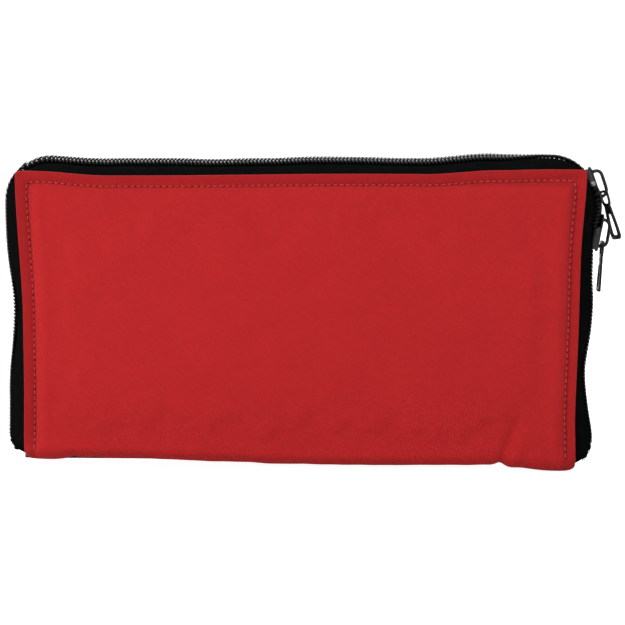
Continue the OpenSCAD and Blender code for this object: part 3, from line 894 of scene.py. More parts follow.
def zipper_coil(side):
    """A filament wound into flattened loops, each gripping between two of the other coil's."""
    start, end = 4.0, CHAIN_S[-1] - 4.0
    turns = int((end - start) / PITCH)
    per = 14
    phi = np.arange(turns * per + 1) / per * 2 * math.pi
    offset = 0.0 if side == FRONT else PITCH / 2
    s = np.clip(start + offset + PITCH * phi / (2 * math.pi), 0, CHAIN_S[-1])
    free = open_chain(s)
    y = -1.66 + 1.76 * np.cos(phi) * (1 - 0.45 * free) - 1.5 * free
    n = COIL_MID + (0.62 + 0.62 * free) * np.sin(phi) - 0.3 * free + bulge(s) + bow(s)
    x, z = chain_at(s, rolled(n, y, s, side))
    path = sag(np.column_stack([x, y, z]))
    v, f = tube(path, 0.43 + 0.04 * np.cos(phi) + 0.14 * free, 7, side_axis=(0.3, 1, 0.2))
    name = SIDE_NAME[side]
    piece(name + "_coil", (on_side(v, side), f), COIL, name + "_half", [name + "_zipper_coil"])
    # sewing thread that holds the coil's heel to the tape
    thread = []
    for k in range(turns):
        s0 = start + offset + PITCH * (k + 0.22)
        s1 = s0 + PITCH * 0.92
        if s1 > CHAIN_S[-1] - 2 or open_chain(s0) > 0.3:
            continue
        at = np.array([s0, (s0 + s1) / 2, s1])
        yy = np.array([-3.15, -3.05, -2.95])
        nn = COIL_MID + np.array([0.30, 0.72, 0.30]) + bulge(at)
        xx, zz = chain_at(at, rolled(nn, yy, at, side))
        thread.append(tube(sag(np.column_stack([xx, yy, zz])), [0.12, 0.18, 0.12], 5))
    v, f = join(thread)
    piece(name + "_coil_thread", (on_side(v, side), f), COIL_THREAD, name + "_half")
    # filler cord that runs inside the loops
    s = CHAIN_S[(CHAIN_S > start) & (CHAIN_S < end)]
    x, z = chain_at(s, rolled(COIL_MID - 0.1 + bulge(s) + bow(s), CORD_Y, s, side))
    v, f = tube(sag(np.column_stack([x, CORD_Y - 1.5 * open_chain(s), z])), 0.62, 8, flat=1.4)
    piece(name + "_coil_cord", (on_side(v, side), f), COIL_THREAD, name + "_half")


# ---------------------------------------------------------------- sliders and pulls

def local_to_world(v, place):
    """v is (n, y, s): outward from the chain, across it, and along it towards the slider's open end."""
    origin, out, along = place
    v = np.asarray(v, float)
    return origin + v[:, :1] * out + v[:, 1:2] * np.array([0, 1.0, 0]) + v[:, 2:] * along


def lower_place():
    out = np.array([math.cos(LOWER_LEAN), 0, -math.sin(LOWER_LEAN)])
    along = np.array([math.sin(LOWER_LEAN), 0, math.cos(LOWER_LEAN)])
    return np.array([HALF_W, 0, LOWER_END]) + SLIDER_L / 2 * along, out, along


def upper_place():
    c, a = np.array([HALF_W - CORNER_C, 0, TOP - CORNER_C]), SLIDER_ANGLE
    out = np.array([math.cos(a), 0, math.sin(a)])
    return c + CORNER_C * out, out, -np.array([-math.sin(a), 0, math.cos(a)])


def slider_outline(grow):
    """Plan of a slider plate as (y, s): broad shoulders at the open end, a narrower rounded nose."""
    h = SLIDER_L / 2
    pts = np.array([(0, h - 1.7), (1.5, h - 0.35), (2.6, h), (3.9, h - 0.35), (4.7, h - 1.8), (4.8, h - 3.6),
                    (4.25, h - 6.4), (3.45, h - 9.0), (3.2, -h + 3.2), (2.9, -h + 1.3), (2.0, -h + 0.35),
                    (0.9, -h), (0, -h)])
    full = np.concatenate([pts, (pts * (-1, 1))[::-1][1:-1]])
    loop = resample(full, 48)
    for _ in range(2):
        loop = (np.roll(loop, 1, 0) + 2 * loop + np.roll(loop, -1, 0)) / 4
    size = np.abs(loop).max(0)
    return loop * (size + grow) / size


def plate(base, levels):
    """A slider plate as a stack of outlines (height over base, growth)."""
    outlines = [(base + h, slider_outline(grow)) for h, grow in levels]
    return loft([np.column_stack([np.full(len(loop), h), loop]) for h, loop in outlines])


def slider_mesh(wall_end):
    """Two plates joined by a post, side walls from the nose to wall_end, and a bridge on the outside."""
    h = SLIDER_L / 2
    over, under = OVER, UNDER
    parts = [plate(over, [(0, -0.5), (0.12, -0.12), (0.4, 0), (0.75, -0.05), (1.02, -0.4), (1.16, -1.2),
                          (1.2, -2.4)]),
             plate(under, [(0, -1.6), (0.05, -0.7), (0.3, -0.15), (0.6, 0), (0.85, -0.1), (1.0, -0.5)])]
    post = []
    for s, w in ((h - 0.9, 0.25), (h - 1.6, 0.75), (h - 3.2, 0.62), (h - 5.5, 0.34), (h - 7.4, 0.2)):
        post.append([(under + 0.8, -w, s), (over + 0.3, -w, s), (over + 0.3, w, s), (under + 0.8, w, s)])
    parts.append(loft(post))
    t = 0.45
    sections = ((wall_end, 4.0, 0.5), (wall_end - 0.7, 3.95, 1.0), (-2.5, 3.7, 1.06), (-h + 3.4, 3.5, 1.06),
                (-h + 2.0, 3.35, 0.95), (-h + 1.2, 3.2, 0.5))
    for side in (-1, 1):
        wall = []
        for s, y, grow in sections:
            low, high = over + 0.4 - 3.1 * grow, over + 0.55
            section = ((high, y - t), (low + 0.3, y - t), (low, y - t * 0.4), (low, y + t * 0.4),
                       (low + 0.35, y + t), (high, y + t))
            wall.append([(n, side * w, s) for n, w in section])
        parts.append(loft(wall))
    n0, end = over + 0.5, BRIDGE_L / 2
    shape = [(1.1, -1.0), (2.3, -0.985), (3.3, -0.93), (4.05, -0.82), (4.45, -0.66), (4.55, -0.48),
             (4.55, 0.0), (4.5, 0.44), (4.3, 0.66), (3.8, 0.82), (2.9, 0.93), (1.7, 0.985), (0.6, 1.0),
             (-0.1, 1.0)]
    path = np.array([(n0 + n, 0, s * end) for n, s in shape])
    ends = np.linspace(-1, 1, len(path))
    parts.append(tube(path, 0.78 + 0.10 * np.abs(ends) ** 3, 10, flat=1.3))
    for s in (-end, end):
        parts.append(loft([np.column_stack([np.full(16, n0 + rise), *(arc(0, s, r, 0, 360, 17)[:-1].T)])
                           for rise, r in ((0.2, 1.5), (0.75, 1.45), (1.0, 1.1), (1.05, 0.7))]))
    return join(parts)


def mirrored(half):
    """A closed outline from its right half, listed from the top to the bottom."""
    half = np.array(half, float)
    return np.vstack([half, (half * (-1, 1))[::-1]])


def pull_mesh():
    """A pull hanging from its crossbar at the origin: an eye, a waist and a slotted tab with a rolled tip."""
    n = 64
    tip = -PULL_L
    eye_out = [(0.01, 0.62), (2.3, 0.60), (2.85, 0.1), (2.95, -1.8), (2.9, -4.4), (2.5, -6.2), (1.9, -7.2),
               (0.01, -7.7)]
    eye_in = [(0.01, -0.58), (1.8, -0.58), (2.0, -0.9), (2.05, -2.8), (1.95, -4.6), (1.5, -5.7), (0.01, -6.0)]
    tab_out = [(0.01, -6.4), (1.7, -6.6), (2.1, -7.8), (2.25, -9.5), (2.6, -12), (3.0, -15), (3.3, -18.5),
               (3.4, tip + 1.8), (3.15, tip + 0.7), (2.4, tip), (0.01, tip - 0.1)]
    tab_in = [(0.01, -10.9), (0.9, -11.2), (1.25, -12.2), (1.5, -14.5), (1.7, -17.5), (1.7, tip + 2.6),
              (1.1, tip + 2.1), (0.01, tip + 2.0)]
    eye = [resample(mirrored(half), n) for half in (eye_out, eye_in)]
    tab = [resample(mirrored(half), n) for half in (tab_out, tab_in)]
    return join([ring_plate(*eye, 0.55, 0.25), ring_plate(*tab, 0.52, 0.28),
                 capsule((0, -2.6, 0), (0, 2.6, 0), 0.55, 10),
                 capsule((0, -2.1, tip + 0.75), (0, 2.1, tip + 0.75), 0.85, 10)])


def turned(v, axis, degrees):
    m = np.array(Matrix.Rotation(math.radians(degrees), 3, axis))
    return np.asarray(v) @ m.T


def sliders():
    joints = {j["name"]: j for j in frame["joints"]}
    tab, tab_faces = pull_mesh()
    tabs = {"lower": turned(tab, "Y", 3), "upper": turned(turned(tab, "Z", 28), "Y", -18)}
    for name, place, wall_end in (("lower", lower_place(), 2.6), ("upper", upper_place(), 0.2)):
        v, f = slider_mesh(wall_end)
        slider, pull = name + "_slider", name + "_pull"
        piece(slider + "_body", (local_to_world(v, place), f), ENAMEL, slider, [slider])
        at = np.array(joints[pull + "_swing"]["pos_m"]) / MM
        piece(pull + "_tab", (tabs[name] + at, tab_faces), ENAMEL, pull, [pull])
    # the spot on the upper slider's wall with a painted glint: bright metal standing in for a reflection of
    # the light, as (height over the plate, along)
    spot = [(-1.9, -0.45), (-0.9, -0.3), (0.35, -0.35), (0.4, -1.3), (0.3, -2.3), (-0.8, -2.45),
            (-1.9, -2.35), (-2.05, -1.4)]
    v, f = loft([[(OVER + n, -4.43 - 0.12 * s - rise, s) for n, s in spot] for rise in (-0.1, 0.07)])
    v = local_to_world(v, upper_place())
    piece("upper_slider_painted_glint", (v, f), PAINTED_GLINT, "upper_slider")


# ---------------------------------------------------------------- linings and the spine

def lining(side):
    """A panel's lining cloth, with a row of stitches near its edge."""
    name = SIDE_NAME[side] + "_lining"
    lo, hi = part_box(name)
    x, z = patch(lo.x / MM, hi.x / MM, lo.z / MM, hi.z / MM, 3.0)
    wave = 0.14 * ripple(x, z, 30, 101 + side)
    inner = -LINING_Y - 0.05 + wave - 0.35 * np.exp(-(edge_of(x, z) / 1.2) ** 2)
    v, f = upright(x, z, -LINING_Y - 0.6, inner)
    piece(name + "_cloth", (on_side(v, side), f), LINING, SIDE_NAME[side] + "_half", [name])
    path = rounded_rect(lo.x / MM + 2, hi.x / MM - 2, lo.z / MM + 2, hi.z / MM - 2, 5, 8)
    path = np.column_stack([path[:, 0], np.full(len(path), -LINING_Y + 0.12), path[:, 1]])
    v, f = thread_row(path, 2.6, 0.2)
    piece(name + "_stitches", (on_side(v, side), f), DARK_THREAD, SIDE_NAME[side] + "_half")


def thread_row(path, pitch, radius, closed=True):
    """Stitches of the given pitch laid along a path."""
    if closed:
        path = np.vstack([path, path[:1]])
    s = np.r_[0, np.cumsum(np.linalg.norm(np.diff(path, axis=0), axis=1))]
    count = max(1, int(s[-1] / pitch))
    parts = []
    for k in range(count):
        a, b = ([np.interp(t * s[-1] / count, s, path[:, i]) for i in range(3)] for t in (k + 0.14, k + 0.86))
        parts.append(capsule(a, b, radius, 5))
    return join(parts)


def spine():
    """Foam and lining of the strip between the two folds."""
    lo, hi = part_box("spine_padding")
    x, y = patch(lo.x / MM, hi.x / MM, lo.y / MM + 0.5, hi.y / MM - 0.5, 3.0)
    soft = np.exp(-(edge_of(x, y) / 1.5) ** 2)
    v, f = between(x, y, 1.7 + 0.5 * soft, 3.75 - 0.4 * soft)
    piece("spine_foam", (sag(v), f), FOAM, "spine", ["spine_padding"])
    lo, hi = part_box("spine_lining")
    x, y = patch(lo.x / MM, hi.x / MM, lo.y / MM, hi.y / MM, 3.0)
    v, f = between(x, y, 3.8, 4.35 + 0.08 * ripple(x, y, 16, 111) - 0.3 * np.exp(-(edge_of(x, y) / 1.0) ** 2))
    piece("spine_lining_cloth", (sag(v), f), LINING, "spine", ["spine_lining"])


def fold_lining(side):
    """Lining cloth that bridges the fold, from the spine's lining up inside the panel's."""
    path = [(-7.0, 4.42), (-9.5, 4.46), (-11.2, 4.7), (-12.1, 5.5), (-12.45, 7.0), (-12.5, 9.0),
            (-12.52, 11.5), (-12.53, 14.0)]
    xs = spaced([(-123.5, 3.0), (123.5, 3.0)])
    rows = []
    for y, z in path:
        pucker = 0.16 * ripple(xs, np.full(len(xs), z), 11, 115 + side)
        rows.append(np.column_stack([xs, np.full(len(xs), y) + 0.3 * pucker, z + pucker]))
    mesh = on_side(sag(np.concatenate(rows)), side), grid(len(path), len(xs), flip=side == BACK)
    piece(SIDE_NAME[side] + "_fold_lining", mesh, LINING, over_fold(side),
          modifiers=[thicken(0.35)], closed=False)


# ---------------------------------------------------------------- front half: what it holds

def packet(x0, x1, z0, z1, y0, y1, border, seed, crimp=0.0, crumple=0.25, step=1.6):
    """A sealed packet: two faces pinched flat round a border, lying on y0 with its face at y1."""
    x, z = patch(x0, x1, z0, z1, step, 0.8)
    e = edge_of(x, z)
    full = smooth((e - border) / 5.0) ** 0.7
    wob = crumple * ripple(x, z, 13, seed) * full + 0.5 * crumple * ripple(x, z, 4.5, seed + 1) * full
    teeth = crimp * np.sin(2 * math.pi * (x + z) / 1.5) * smooth((border - e) / 0.5)
    mid = y0 + 0.35 * (y1 - y0)
    high = mid + 0.15 + (y1 - mid - 0.3 - crumple) * full + wob + teeth
    low = mid - 0.15 - (mid - y0 - 0.2) * full + teeth
    return upright(x, z, low, high)


def node_mm(name):
    """A node's box in mm: its ends in x, then in z, then in y."""
    lo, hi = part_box(name)
    return [lo.x / MM, hi.x / MM, lo.z / MM, hi.z / MM, lo.y / MM, hi.y / MM]


def side_by_side(name, count, gap):
    """The x ranges of equal items in a row, with the given gap."""
    x0, x1 = node_mm(name)[:2]
    w = (x1 - x0 - gap * (count - 1)) / count
    return [(x0 + i * (w + gap), x0 + i * (w + gap) + w) for i in range(count)]


def packets():
    """Gauze, plasters and wipes in their sealed wrappers, each with its count, gap and wrapper's border."""
    for name, count, gap, border, crimp, crumple, mat, slot, step in (
            ("gauze_packs", 2, 6.0, 5.0, 0.10, 0.30, GAUZE, "gauze_paper", 1.6),
            ("plaster_strips", PLASTERS, PLASTER_GAP, 1.6, 0.06, 0.10, PLASTER, "plaster", 1.0),
            ("wipe_sachets", 2, 2.0, 3.2, 0.14, 0.22, SACHET, "sachet", 1.0)):
        _, _, z0, z1, y0, y1 = node_mm(name)
        parts = []
        for i, (a, b) in enumerate(side_by_side(name, count, gap)):
            parts.append(packet(a, b, z0, z1, y0, y1, border, 121 + 7 * i + len(name), crimp, crumple, step))
        piece(name + "_wrapped", join(parts), mat, "front_half", [name])
    # the dressing strip showing through each plaster's wrapper
    _, _, z0, z1, _, y1 = node_mm("plaster_strips")
    parts = []
    for a, b in side_by_side("plaster_strips", PLASTERS, PLASTER_GAP):
        x, z = patch(a + 2.4, b - 2.4, z0 + 9, z1 - 9, 2.0, 0.8)
        parts.append(upright(x, z, y1 - 0.9, y1 - 0.22 - 0.25 * np.exp(-(edge_of(x, z) / 0.6) ** 2)))
    piece("plaster_strips_pads", join(parts), SKIN_TAPE, "front_half")


def folded(u0, u1, y0, y1, v0, v1, layers, seed, crumple=0.25, step=2.0):
    """A cloth folded back and forth: stacked in y, its folds at u0 and u1, running from v0 to v1.

    Returns its points, its faces and how thick a layer is."""
    pitch = (y1 - y0) / layers
    path = []
    for k in range(layers):
        y = y0 + pitch * (k + 0.5)
        us = np.linspace(u0 + pitch, u1 - pitch - 0.5 * (k % 2), 26)
        if k % 2:
            us = us[::-1]
        path += [(u, y) for u in us]
        if k < layers - 1:
            sign = 1 if k % 2 == 0 else -1
            for a in np.radians((-50, 0, 50)):
                path.append((us[-1] + sign * pitch * 0.62 * math.cos(a), y + pitch / 2 * (1 + math.sin(a))))
    path = np.array(path)
    vs = spaced([(v0, 0.8), (v0 + 2, step * 2), (v1 - 2, 0.8), (v1, 1.0)])
    i = np.arange(len(path))
    rows = []
    for v in vs:
        wob = crumple * pitch * 0.3 * ripple(path[:, 0], np.full(len(path), v), 12, seed) * np.ones(len(path))
        shift = 0.35 * crumple * ripple(i / 26.0 * 9, np.full(len(path), v), 20, seed + 3)
        rows.append(np.column_stack([path[:, 0] + shift, path[:, 1] + wob, np.full(len(path), v)]))
    return np.concatenate(rows), grid(len(vs), len(path)), pitch * 0.72


def blanket_and_gloves():
    """The folded foil blanket, and two gloves folded flat with a rolled cuff."""
    x0, x1, z0, z1, y0, y1 = node_mm("foil_blanket")
    v, f, t = folded(z0 + 0.4, z1 - 0.4, y0 + 0.2, y1 - 0.3, x0 + 0.4, x1 - 0.4, 7, 131, 0.5, 1.6)
    piece("foil_blanket_folded", (v[:, [2, 1, 0]], f), FOIL, "front_half", ["foil_blanket"],
          modifiers=[thicken(t, offset=0)], closed=False)
    x0, x1, z0, z1, y0, y1 = node_mm("glove_pack")
    parts = []
    deep = (y1 - y0) / 2
    for k in range(2):
        low = y0 + 0.1 + k * deep
        x, z = patch(x0 + 1.5 * k, x1 - 2.5 + 1.5 * k, z0 + 0.6 + 0.6 * k, z1 - 1.2 + 0.5 * k, 1.3, 1.6)
        lane = (z - z0) / (z1 - z0) * 4
        finger = np.abs(np.sin(math.pi * lane)) ** 0.6
        reach = smooth((x - (x0 + x1) / 2 + 6) / 14)
        round_off = 1 - np.exp(-(edge_of(x, z) / 1.5) ** 1.3)
        high = low + (deep - 0.5) * round_off * (1 - reach * (1 - finger) * 0.55)
        high = high + 0.18 * ripple(x, z, 9, 141 + k) * round_off
        if k > 0:
            high -= 0.5 * np.exp(-((x - x0 - 7) / 2.6) ** 2) * round_off
        parts.append(upright(x, z, low, np.maximum(high, low + 0.25)))
    cuff_z = np.linspace(z0 + 2, z1 - 2, 24)
    cuff_x = x0 + 3.4 + 0.3 * ripple(cuff_z, 0 * cuff_z, 9, 145)
    cuff = np.column_stack([cuff_x, np.full(24, y1 - 1.6), cuff_z])
    parts.append(tube(cuff, 1.2 + 0.12 * ripple(cuff_z, 0 * cuff_z, 4, 147), 9))
    piece("glove_pack_folded", join(parts), NITRILE, "front_half", ["glove_pack"])


def net():
    """A knitted net of diamond cells, stretched over the packets and sewn down at its sides and bottom."""
    x0, x1, z0, z1, y0, y1 = node_mm("net_pocket")
    cols, rows = int((x1 - x0) / NET_CELL), int((z1 - z0) / NET_CELL)
    at = {}
    verts, faces = [], []

    def corner(i, j):
        if (i, j) not in at:
            x, z = x0 + (x1 - x0) * i / cols, z0 + (z1 - z0) * j / rows
            d = min(x - x0, x1 - x)
            full = float(smooth(d / 8) * smooth((z - z0) / 8)) ** 0.6
            wob = 0.22 * float(ripple(np.array([x]), np.array([z]), 26, 151)[0])
            at[i, j] = len(verts)
            verts.append((x, y0 + 0.3 + (y1 - y0 - 0.6) * full + wob * full, z))
        return at[i, j]

    for i in range(1, cols):
        for j in range(1, rows):
            if (i + j) % 2:
                faces.append((corner(i - 1, j), corner(i, j - 1), corner(i + 1, j), corner(i, j + 1)))

    def wires(obj):
        m = obj.modifiers.new("strands", "WIREFRAME")
        m.thickness = 0.42 * MM
        m.use_even_offset = False
        m.use_boundary = True

    piece("net_pocket_mesh", (verts, faces), NET, "front_half", ["net_pocket"], modifiers=[wires],
          closed=False)
    x0, x1, z0, z1, y0, y1 = node_mm("net_pocket_binding")
    x, z = patch(x0, x1, z0, z1, 1.2, 0.8)
    soft = np.exp(-(edge_of(x, z) / 0.7) ** 2)
    gather = 0.14 * np.sin(2 * math.pi * (x + 0.8 * ripple(x, z, 20, 155)) / 4.2)
    gather += 0.12 * ripple(x, z, 10, 156)
    mesh = upright(x, z, y0 + 0.3 + 0.25 * soft + gather, y1 - 0.25 - 0.4 * soft + gather)
    piece("net_pocket_elastic", mesh, ELASTIC, "front_half", ["net_pocket_binding"])
    seams = []
    for height in (z0 + 1.0, z1 - 1.0):
        line = np.array([(x0 + 1, y1 - 0.15, height), (x1 - 1, y1 - 0.15, height)])
        seams.append(thread_row(line, 2.4, 0.2, closed=False))
    piece("net_pocket_stitches", join(seams), DARK_THREAD, "front_half")


def arch(u0, u1, low, high, r, foot):
    """An arch from u0 to u1: feet flat on low, rising to high, with bends of radius r."""
    s = 1 if high > low else -1
    left = [(u0 - foot, low), (u0 - 0.4 * foot, low)]
    bend = [(u0 + r * (1 - math.cos(a)), high - s * r * (1 - math.sin(a)))
            for a in np.linspace(0, math.pi / 2, 7)]
    rise = [(u0, low + s * 0.8), (u0, (low + high) / 2)]
    half = left + rise + bend
    mid = (u0 + u1) / 2
    full = half + [(mid - (mid - u0 - r) * k, high + s * 0.25) for k in (0.5, 0.0)]
    return np.array(full + [(2 * mid - u, y) for u, y in full[::-1][1:]])


def strap(path, w0, w1, across_x):
    """A flat elastic strap: a path in (u, y) run out along the other axis from w0 to w1."""
    ws = np.linspace(w0, w1, 7)
    rows = []
    for w in ws:
        pull = 0.10 * (abs(2 * (w - w0) / (w1 - w0) - 1) ** 2)
        y = path[:, 1] + pull * np.sign(path[0, 1] - path[len(path) // 2, 1])
        rows.append(np.column_stack([path[:, 0], y, np.full(len(path), w)] if across_x
                                    else [np.full(len(path), w), y, path[:, 0]]))
    return np.concatenate(rows), grid(len(ws), len(path))


def straps(name, loops, body):
    """Elastic straps with a bar of stitching across each foot."""
    parts, tacks = [], []
    for path, w0, w1, across_x in loops:
        parts.append(strap(path, w0, w1, across_x))
        for u, y in (path[1] + (path[0] - path[1]) * 0.2, path[-2] + (path[-1] - path[-2]) * 0.2):
            lift = 0.55 if path[len(path) // 2, 1] > y else -0.55
            row = np.array([(u, y + lift, w0 + 1), (u, y + lift, w1 - 1)] if across_x
                           else [(w0 + 1, y + lift, u), (w1 - 1, y + lift, u)])
            tacks.append(thread_row(row, 1.3, 0.2, closed=False))
    piece(name + "_straps", join(parts), ELASTIC, body, [name], modifiers=[thicken(0.85, 0.2, 0)],
          closed=False)
    piece(name + "_tacks", join(tacks), RED_THREAD, body)


def front_bands():
    """Two upright bands that hold the blanket and the gloves."""
    y_low = -LINING_Y + 0.5
    _, _, z0, z1, _, y1 = node_mm("front_elastic_bands")
    loops = [(arch(z0 + 1.0, z1 - 1.0, y_low, y1 - 0.75, 3.0, 2.6), x, x + 22, False) for x in (-76, 38)]
    straps("front_elastic_bands", loops, "front_half")


# ---------------------------------------------------------------- back half: what it holds

# loops of the organiser: x from and to, z from and to, and how far forward the top of the loop comes
ORGANISER = [(-24, 48, 20, 38, -3.8), (-24, 32, 70, 88, -3.8), (58, 118, 33, 51, 2.4),
             (-46.5, -33.5, 84, 96, 4.1), (-46.5, -33.5, 40, 52, 4.1), (61, 76.5, 98, 110, 0.5),
             (-122.6, -111, 100, 108, 4.5)]


def organiser():
    """The elastic loops of the back half."""
    y_low = LINING_Y - 0.5
    loops = []
    for x0, x1, z0, z1, top in ORGANISER:
        r = min(4.0, (x1 - x0) / 3, (y_low - top) * 0.7)
        loops.append((arch(x0 + 0.5, x1 - 0.5, y_low, top + 0.75, r, 2.4), z0, z1, True))
    straps("elastic_loops", loops, "back_half")


def bandage(name, turns, seed):
    """A flattened roll of crepe bandage with its layers showing at the ends."""
    x0, x1, z0, z1, y0, y1 = node_mm(name)
    zc, yc, rz, ry = (z0 + z1) / 2, (y0 + y1) / 2, (z1 - z0) / 2 - 0.7, (y1 - y0) / 2 - 0.7
    per = 40
    k = np.arange(turns * per + 1)
    a = k / per * 2 * math.pi + math.pi * 0.6
    r = 0.10 + 0.90 * k / k[-1]
    flat = rz - ry
    c, s = np.cos(a), np.sin(a)
    z = zc + np.sign(c) * np.abs(c) ** 0.8 * (ry * r + flat * (0.25 + 0.75 * r))
    y = yc + np.sign(s) * np.abs(s) ** 0.8 * ry * r
    rows = []
    xs = spaced([(x0 + 0.3, 0.6), (x0 + 1.5, 3.5), (x1 - 1.5, 0.6), (x1 - 0.3, 1.0)])
    for x in xs:
        slip = 0.5 * ripple(k / per * 7.0, np.zeros(len(k)), 9, seed) * (1 if x > (x0 + x1) / 2 else -1)
        edge = np.exp(-(min(x - x0, x1 - x) / 1.0) ** 2)
        wob = 0.12 * ripple(z + k / per * 11, np.full(len(k), x), 10, seed + 2)
        rows.append(np.column_stack([x + slip * edge * 0.6, y + wob * np.sign(s) * r,
                                     z + wob * np.sign(c) * 0.5]))
    mesh = np.concatenate(rows), grid(len(xs), len(k))
    piece(name + "_roll", mesh, CREPE, "back_half", [name],
          modifiers=[thicken(0.62 * ry / turns, offset=0)], closed=False)


def circles(profile, centre, sides):
    """Circles round an axis along Y through centre, one for each (radius, y)."""
    a = np.arange(sides) / sides * 2 * math.pi
    cx, cy, cz = centre
    return [np.column_stack([cx + r * np.cos(a), np.full(sides, cy + y), cz + r * np.sin(a)])
            for r, y in profile]


def ring(profile, centre):
    """A ring turned from a closed profile of (radius, y) points."""
    sides = 72
    return (np.concatenate(circles(profile, centre, sides)),
            grid(len(profile), sides, close_rows=True, close_cols=True))


def tape_roll():
    """Sticking tape wound on a plastic core, with its loose end lifted a little."""
    x0, x1, z0, z1, y0, y1 = node_mm("adhesive_tape")
    centre = ((x0 + x1) / 2, (y0 + y1) / 2, (z0 + z1) / 2)
    big, small, h = (x1 - x0) / 2, 13.15, (y1 - y0) / 2
    steps = np.arange(small + 0.4, big - 0.4, 0.55)
    wound = [(r + d, h - 0.02 - e) for r in steps for d, e in ((0.0, 0.0), (0.22, 0.14), (0.44, 0.02))]
    profile = [(big, -h + 0.35), (big, h - 0.35)] + [(r, y) for r, y in wound[::-1]] \
        + [(small, h - 0.3), (small, -h + 0.3)] + [(r, -y) for r, y in wound]
    end = []
    for angle, lifted in zip(np.radians(np.linspace(60, 96, 16)), np.linspace(0, 1, 16) ** 3):
        low, y = big - 0.08 + 1.1 * lifted, h - 0.2
        section = ((low, -y), (low + 0.22, -y), (low + 0.22, y), (low, y))
        end.append([(centre[0] + r * math.cos(angle), centre[1] + dy, centre[2] + r * math.sin(angle))
                    for r, dy in section])
    mesh = join([ring(profile, centre), loft(end)])
    piece("adhesive_tape_roll", mesh, STICKY, "tape_roll", ["adhesive_tape"])
    x0, x1, _, _, y0, y1 = node_mm("tape_core")
    big, small, h = (x1 - x0) / 2, 11.5, (y1 - y0) / 2
    core = [(big, -h + 0.3), (big, h - 0.3), (big - 0.3, h), (small + 0.3, h), (small, h - 0.3), (small, 0.6),
            (small - 0.25, 0.3), (small - 0.25, -0.3), (small, -0.6), (small, -h + 0.3), (small + 0.3, -h),
            (big - 0.3, -h)]
    piece("tape_core_ring", ring(core, centre), WHITE_PLASTIC, "tape_roll", ["tape_core"])


def calico():
    """The triangular bandage, folded to a packet."""
    x0, x1, z0, z1, y0, y1 = node_mm("triangular_bandage")
    v, f, t = folded(x0 + 0.5, x1 - 0.5, y0 + 0.4, y1 - 0.4, z0 + 0.5, z1 - 0.5, 6, 171, 0.5, 2.0)
    piece("triangular_bandage_folded", (v, f), CALICO, "back_half", ["triangular_bandage"],
          modifiers=[thicken(t, 0.25, 0)], closed=False)


def tweezer_pair():
    """Two sprung arms joined at the top, with a ribbed grip and narrow tips."""
    x0, x1, z0, z1, y0, y1 = node_mm("tweezers")
    xc, yc = (x0 + x1) / 2, (y0 + y1) / 2
    thick = 0.62
    parts = []
    for side in (-1, 1):
        loops = []
        for z in np.linspace(z1, z0, 64):
            t = (z1 - z) / (z1 - z0)
            out = 0.5 + 2.0 * math.sin(math.pi * min(1, t * 1.02)) ** 0.8
            half = 2.1
            if t >= 0.06:
                half += 0.5 * math.sin(math.pi * min(1, t * 1.3)) - 1.75 * max(0, (t - 0.45) / 0.55)
            half = max(half, 0.65)
            ribbed_here = smooth(1 - abs(t - 0.45) / 0.14) > 0.2
            ridge = 0.08 * (1 + math.cos(2 * math.pi * z / 1.6)) if ribbed_here else 0.0
            a, b = xc + side * (out - thick), xc + side * (out + thick + ridge)
            r = 0.15
            section = ((a, r - half), (a + side * r, -half), (b - side * r, -half), (b, r - half))
            section += tuple((x, -y) for x, y in section[::-1])
            loops.append([(x, yc + y, z) for x, y in section])
        parts.append(loft(loops))
    piece("tweezers_pair", join(parts), STEEL, "back_half", ["tweezers"])


def pins():
    """Three closed safety pins: a wire with a coil at one end, and a cap at the other."""
    *_, y0, y1 = node_mm("safety_pins")
    yc = (y0 + y1) / 2
    cap = ((18.9, 1.9, 0.5), (19.3, 2.6, 0.85), (21.0, 3.0, 0.95), (22.3, 2.7, 0.9), (22.9, 1.8, 0.6))
    parts, caps = [], []
    for i in range(3):
        x, z = -16 + i * 22, 108 + (i % 2) * 8
        turn = np.radians(np.linspace(90, -450, 40))
        coil = np.column_stack([x + 2.1 * np.cos(turn), yc - 0.45 + 0.9 * np.linspace(0, 1, 40),
                                z + 2.1 * np.sin(turn)])
        pin = [(x + 20.5, yc - 0.4, z + 1.9), (x + 12, yc - 0.5, z + 2.5), (x + 4, yc - 0.45, z + 2.2)]
        path = np.vstack([pin, coil, [(x + 6, yc + 0.45, z - 2.1), (x + 20.5, yc + 0.4, z - 2.1)]])
        parts.append(tube(path, 0.36, 7))
        loops = []
        for dx, h, t in cap:
            shape = rounded_rect(-t, t, -h, h, min(t, h) * 0.6, 4)
            loops.append(np.column_stack([np.full(len(shape), x + dx), yc + shape[:, 0], z + shape[:, 1]]))
        caps.append(loft(loops))
    piece("safety_pins_wire", join(parts + caps), BRASS, "back_half", ["safety_pins"])


def clips():
    """A toothed metal clip on each crepe bandage."""
    *_, y0, y1 = node_mm("bandage_clips")
    parts = []
    for x, z in ((14, 29), (6, 78)):
        u, w = patch(x, x + 14, z - 2, z + 2, 1.0, 0.5)
        bump = 0.16 * np.cos(2 * math.pi * (u - x) / 2.8) * np.exp(-((w - z) / 1.2) ** 2)
        parts.append(upright(u, w, y0 + 0.18 + bump, y0 + 0.42 + bump))
        for tooth in (x + 1.2, x + 12.8):
            for dz in (-1.2, 0.0, 1.2):
                path = [(tooth, y0 + 0.3, z + dz), (tooth, y1 - 0.1, z + dz), (tooth + 0.2, y1, z + dz)]
                parts.append(tube(path, [0.22, 0.16, 0.05], 5, side_axis=(1, 0, 0)))
    piece("bandage_clips_toothed", join(parts), STEEL, "back_half", ["bandage_clips"])


